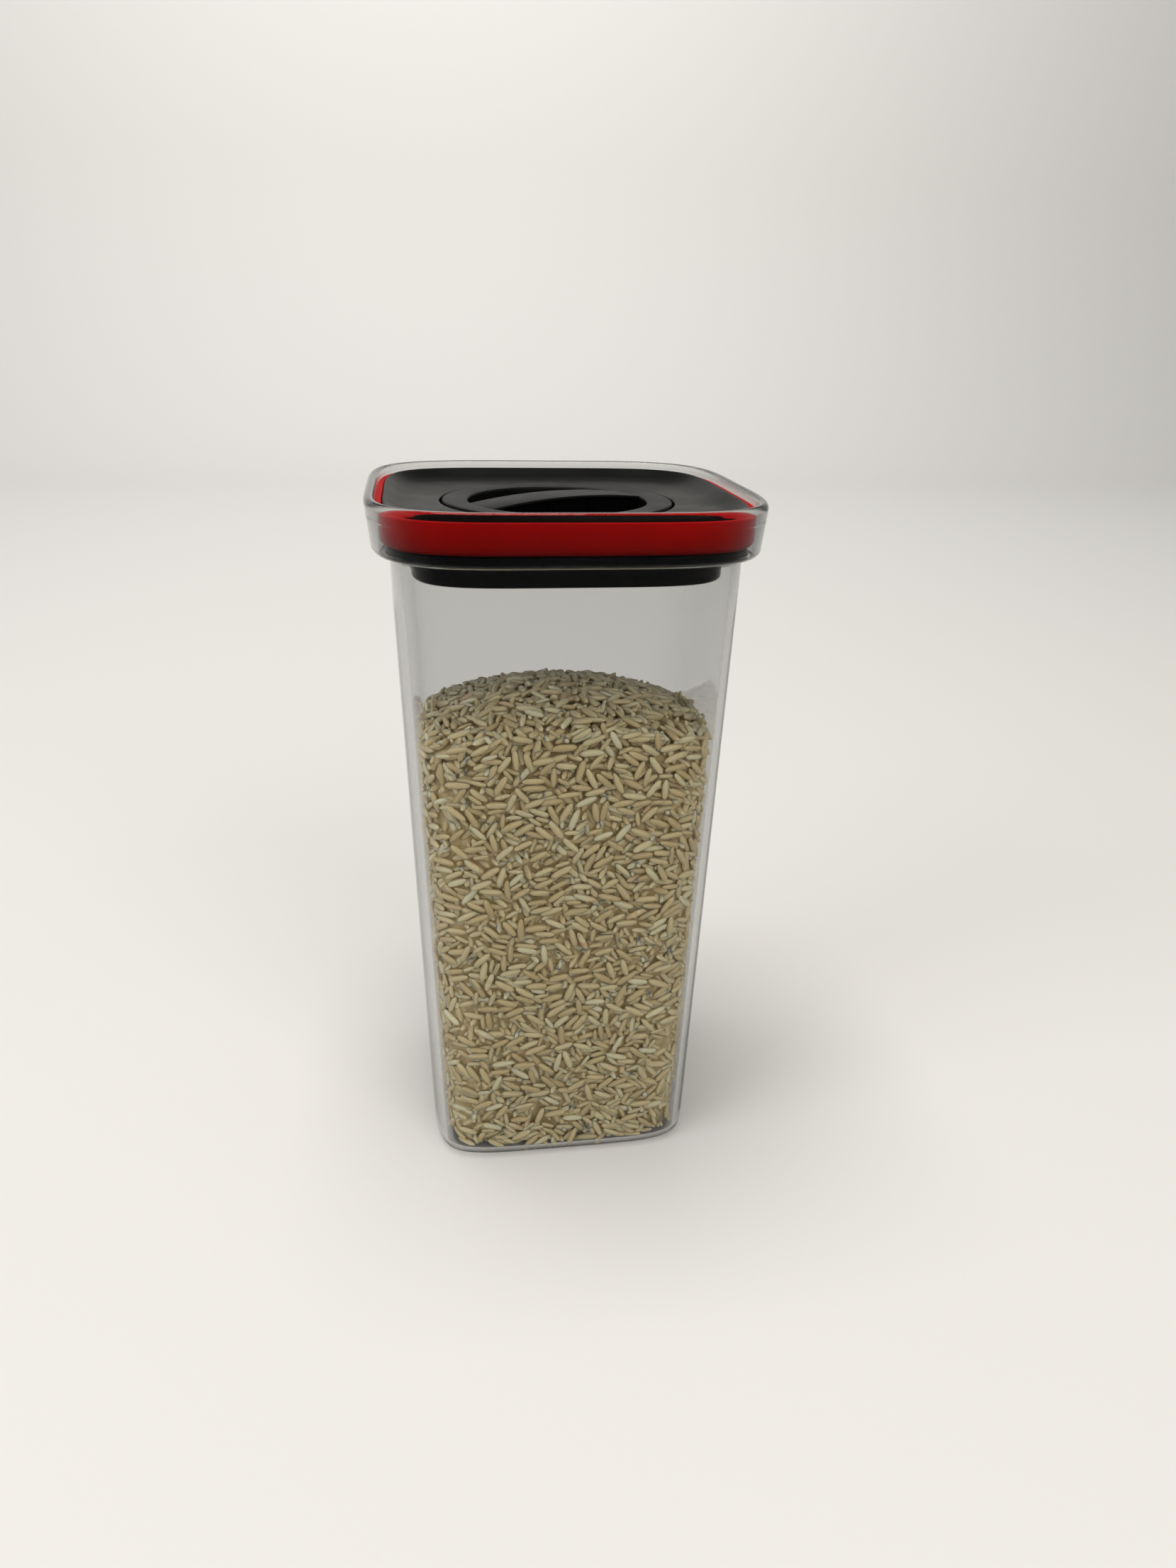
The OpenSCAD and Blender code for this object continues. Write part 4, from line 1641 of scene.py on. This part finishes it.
@dataclass
class Studio:
    """Camera, pale floor and soft light."""

    camera_at: Point = (-39.23, -316.04, 242.51)
    forward: Point = (0.14375, 0.91127, -0.38590)
    upward: Point = (0.03633, 0.38483, 0.92227)
    focal_px: float = 1572.19
    frame_px: float = 2212.0
    sensor_mm: float = 36.0
    nearest_mm: float = 10.0
    floor_half: float = 2500.0
    floor_back: float = 1500.0
    floor_bend: float = 500.0
    wall_top: float = 900.0
    bend_points: int = 16
    air: str = "#E8E8E6"
    air_strength: float = 0.42
    bounces: int = 24
    see_through: int = 16
    lights: tuple[Softbox, ...] = (
        Softbox("key", (600, -1500, 1150), (0, 0, 90), (1200, 1200), 11.0, "#FFFCF7"),
        Softbox("fill", (-1300, -700, 900), (0, 0, 100), (900, 900), 7.0, "#F8F9FF"),
        Softbox("ceiling", (-150, 0, 1500), (0, 0, 0), (700, 700), 12.0, "#FFFDF8"),
        Softbox("backdrop", (0, 900, 1500), (0, 2000, 900), (1600, 500), 12.0, "#FFFFFF"),
    )

    def build(self) -> None:
        """Builds everything round the object."""
        self.camera()
        self.floor(MattPaint().build())
        self.world()
        for light in self.lights:
            light.hang()
        view = bpy.context.scene.view_settings
        view.view_transform = "Standard"
        view.look = "None"
        cycles = bpy.context.scene.cycles
        cycles.max_bounces = cycles.transmission_bounces = self.bounces
        cycles.transparent_max_bounces = self.see_through
        cycles.caustics_reflective = False
        cycles.caustics_refractive = True

    def camera(self) -> None:
        """Sets the camera."""
        data = bpy.data.cameras.new("camera")
        data.lens = self.focal_px / self.frame_px * self.sensor_mm
        data.sensor_width = self.sensor_mm
        data.clip_start = self.nearest_mm * MM
        camera = bpy.data.objects.new("camera", data)
        forward, up = Vector(self.forward).normalized(), Vector(self.upward).normalized()
        right = forward.cross(up).normalized()
        up = right.cross(forward)
        turn = Matrix((right, up, -forward)).transposed().to_4x4()
        camera.matrix_world = Matrix.Translation(Vector(self.camera_at) * MM) @ turn
        bpy.context.scene.collection.objects.link(camera)
        bpy.context.scene.camera = camera

    def floor(self, paint: Material) -> None:
        """Makes the floor, which curves up into a backdrop.

        Args:
            paint: The floor's material.
        """
        half, back, bend = self.floor_half, self.floor_back, self.floor_bend
        turns = np.linspace(0, math.pi / 2, self.bend_points)
        curve = [(back + bend * math.sin(t), bend - bend * math.cos(t)) for t in turns]
        line = [(-half, 0.0), *curve, (back + bend, self.wall_top)]
        points = [(x, y, z) for y, z in line for x in (-half, half)]
        faces = [(2 * i, 2 * i + 1, 2 * i + 3, 2 * i + 2) for i in range(len(line) - 1)]
        floor = mesh_object("floor", np.array(points), faces)
        floor.data.materials.append(paint)

    def world(self) -> None:
        """Sets the soft light from all round."""
        world = bpy.data.worlds.new("studio")
        world.use_nodes = True
        backdrop = world.node_tree.nodes["Background"]
        backdrop.inputs["Color"].default_value = srgb(self.air)
        backdrop.inputs["Strength"].default_value = self.air_strength
        bpy.context.scene.world = world


def main() -> None:
    """Builds every piece in order."""
    logging.basicConfig(level=logging.INFO, format="%(message)s")
    Studio().build()
    jar = Jar()
    jar.build(ClearPlastic().build())
    # The mound's grains get painted shade, greyer and darker towards the back, standing in for the lid's
    # shade on them.
    painted_shade_grains = RiceGrainFinish("dusty_rice", painted_back_shade="#D4DCEC")
    Rice(jar).build(RiceGrainFinish().build(), painted_shade_grains.build(), RiceBed().build())
    lid = LidSizes(jar)
    gloss = MouldedPlastic(
        "gloss_black_plate", "#020203", "#030304", 0.12, grain_mm=8.0, grain_depth_mm=0.0, sheen=0.05
    )
    satin = MouldedPlastic("satin_black_cover", "#0C0C0B", "#10100E", 0.34, sheen=0.05)
    PressurePlate(lid).build(gloss.build())
    Gasket(lid).build(Silicone().build())
    Cover(lid).build(satin.build())
    Dial(lid).build(MouldedPlastic("satin_black_dial", "#0A0A0A", "#0D0D0C", 0.4, sheen=0.08).build())
    Hardware(
        PlatedSteel().build(),
        MouldedPlastic("black_acetal", "#131313", "#1A1A1A", 0.35).build(),
        MouldedPlastic("white_acetal", "#D8D8D2", "#E4E4DE", 0.4).build(),
    ).build()


if __name__ == "__main__":
    main()
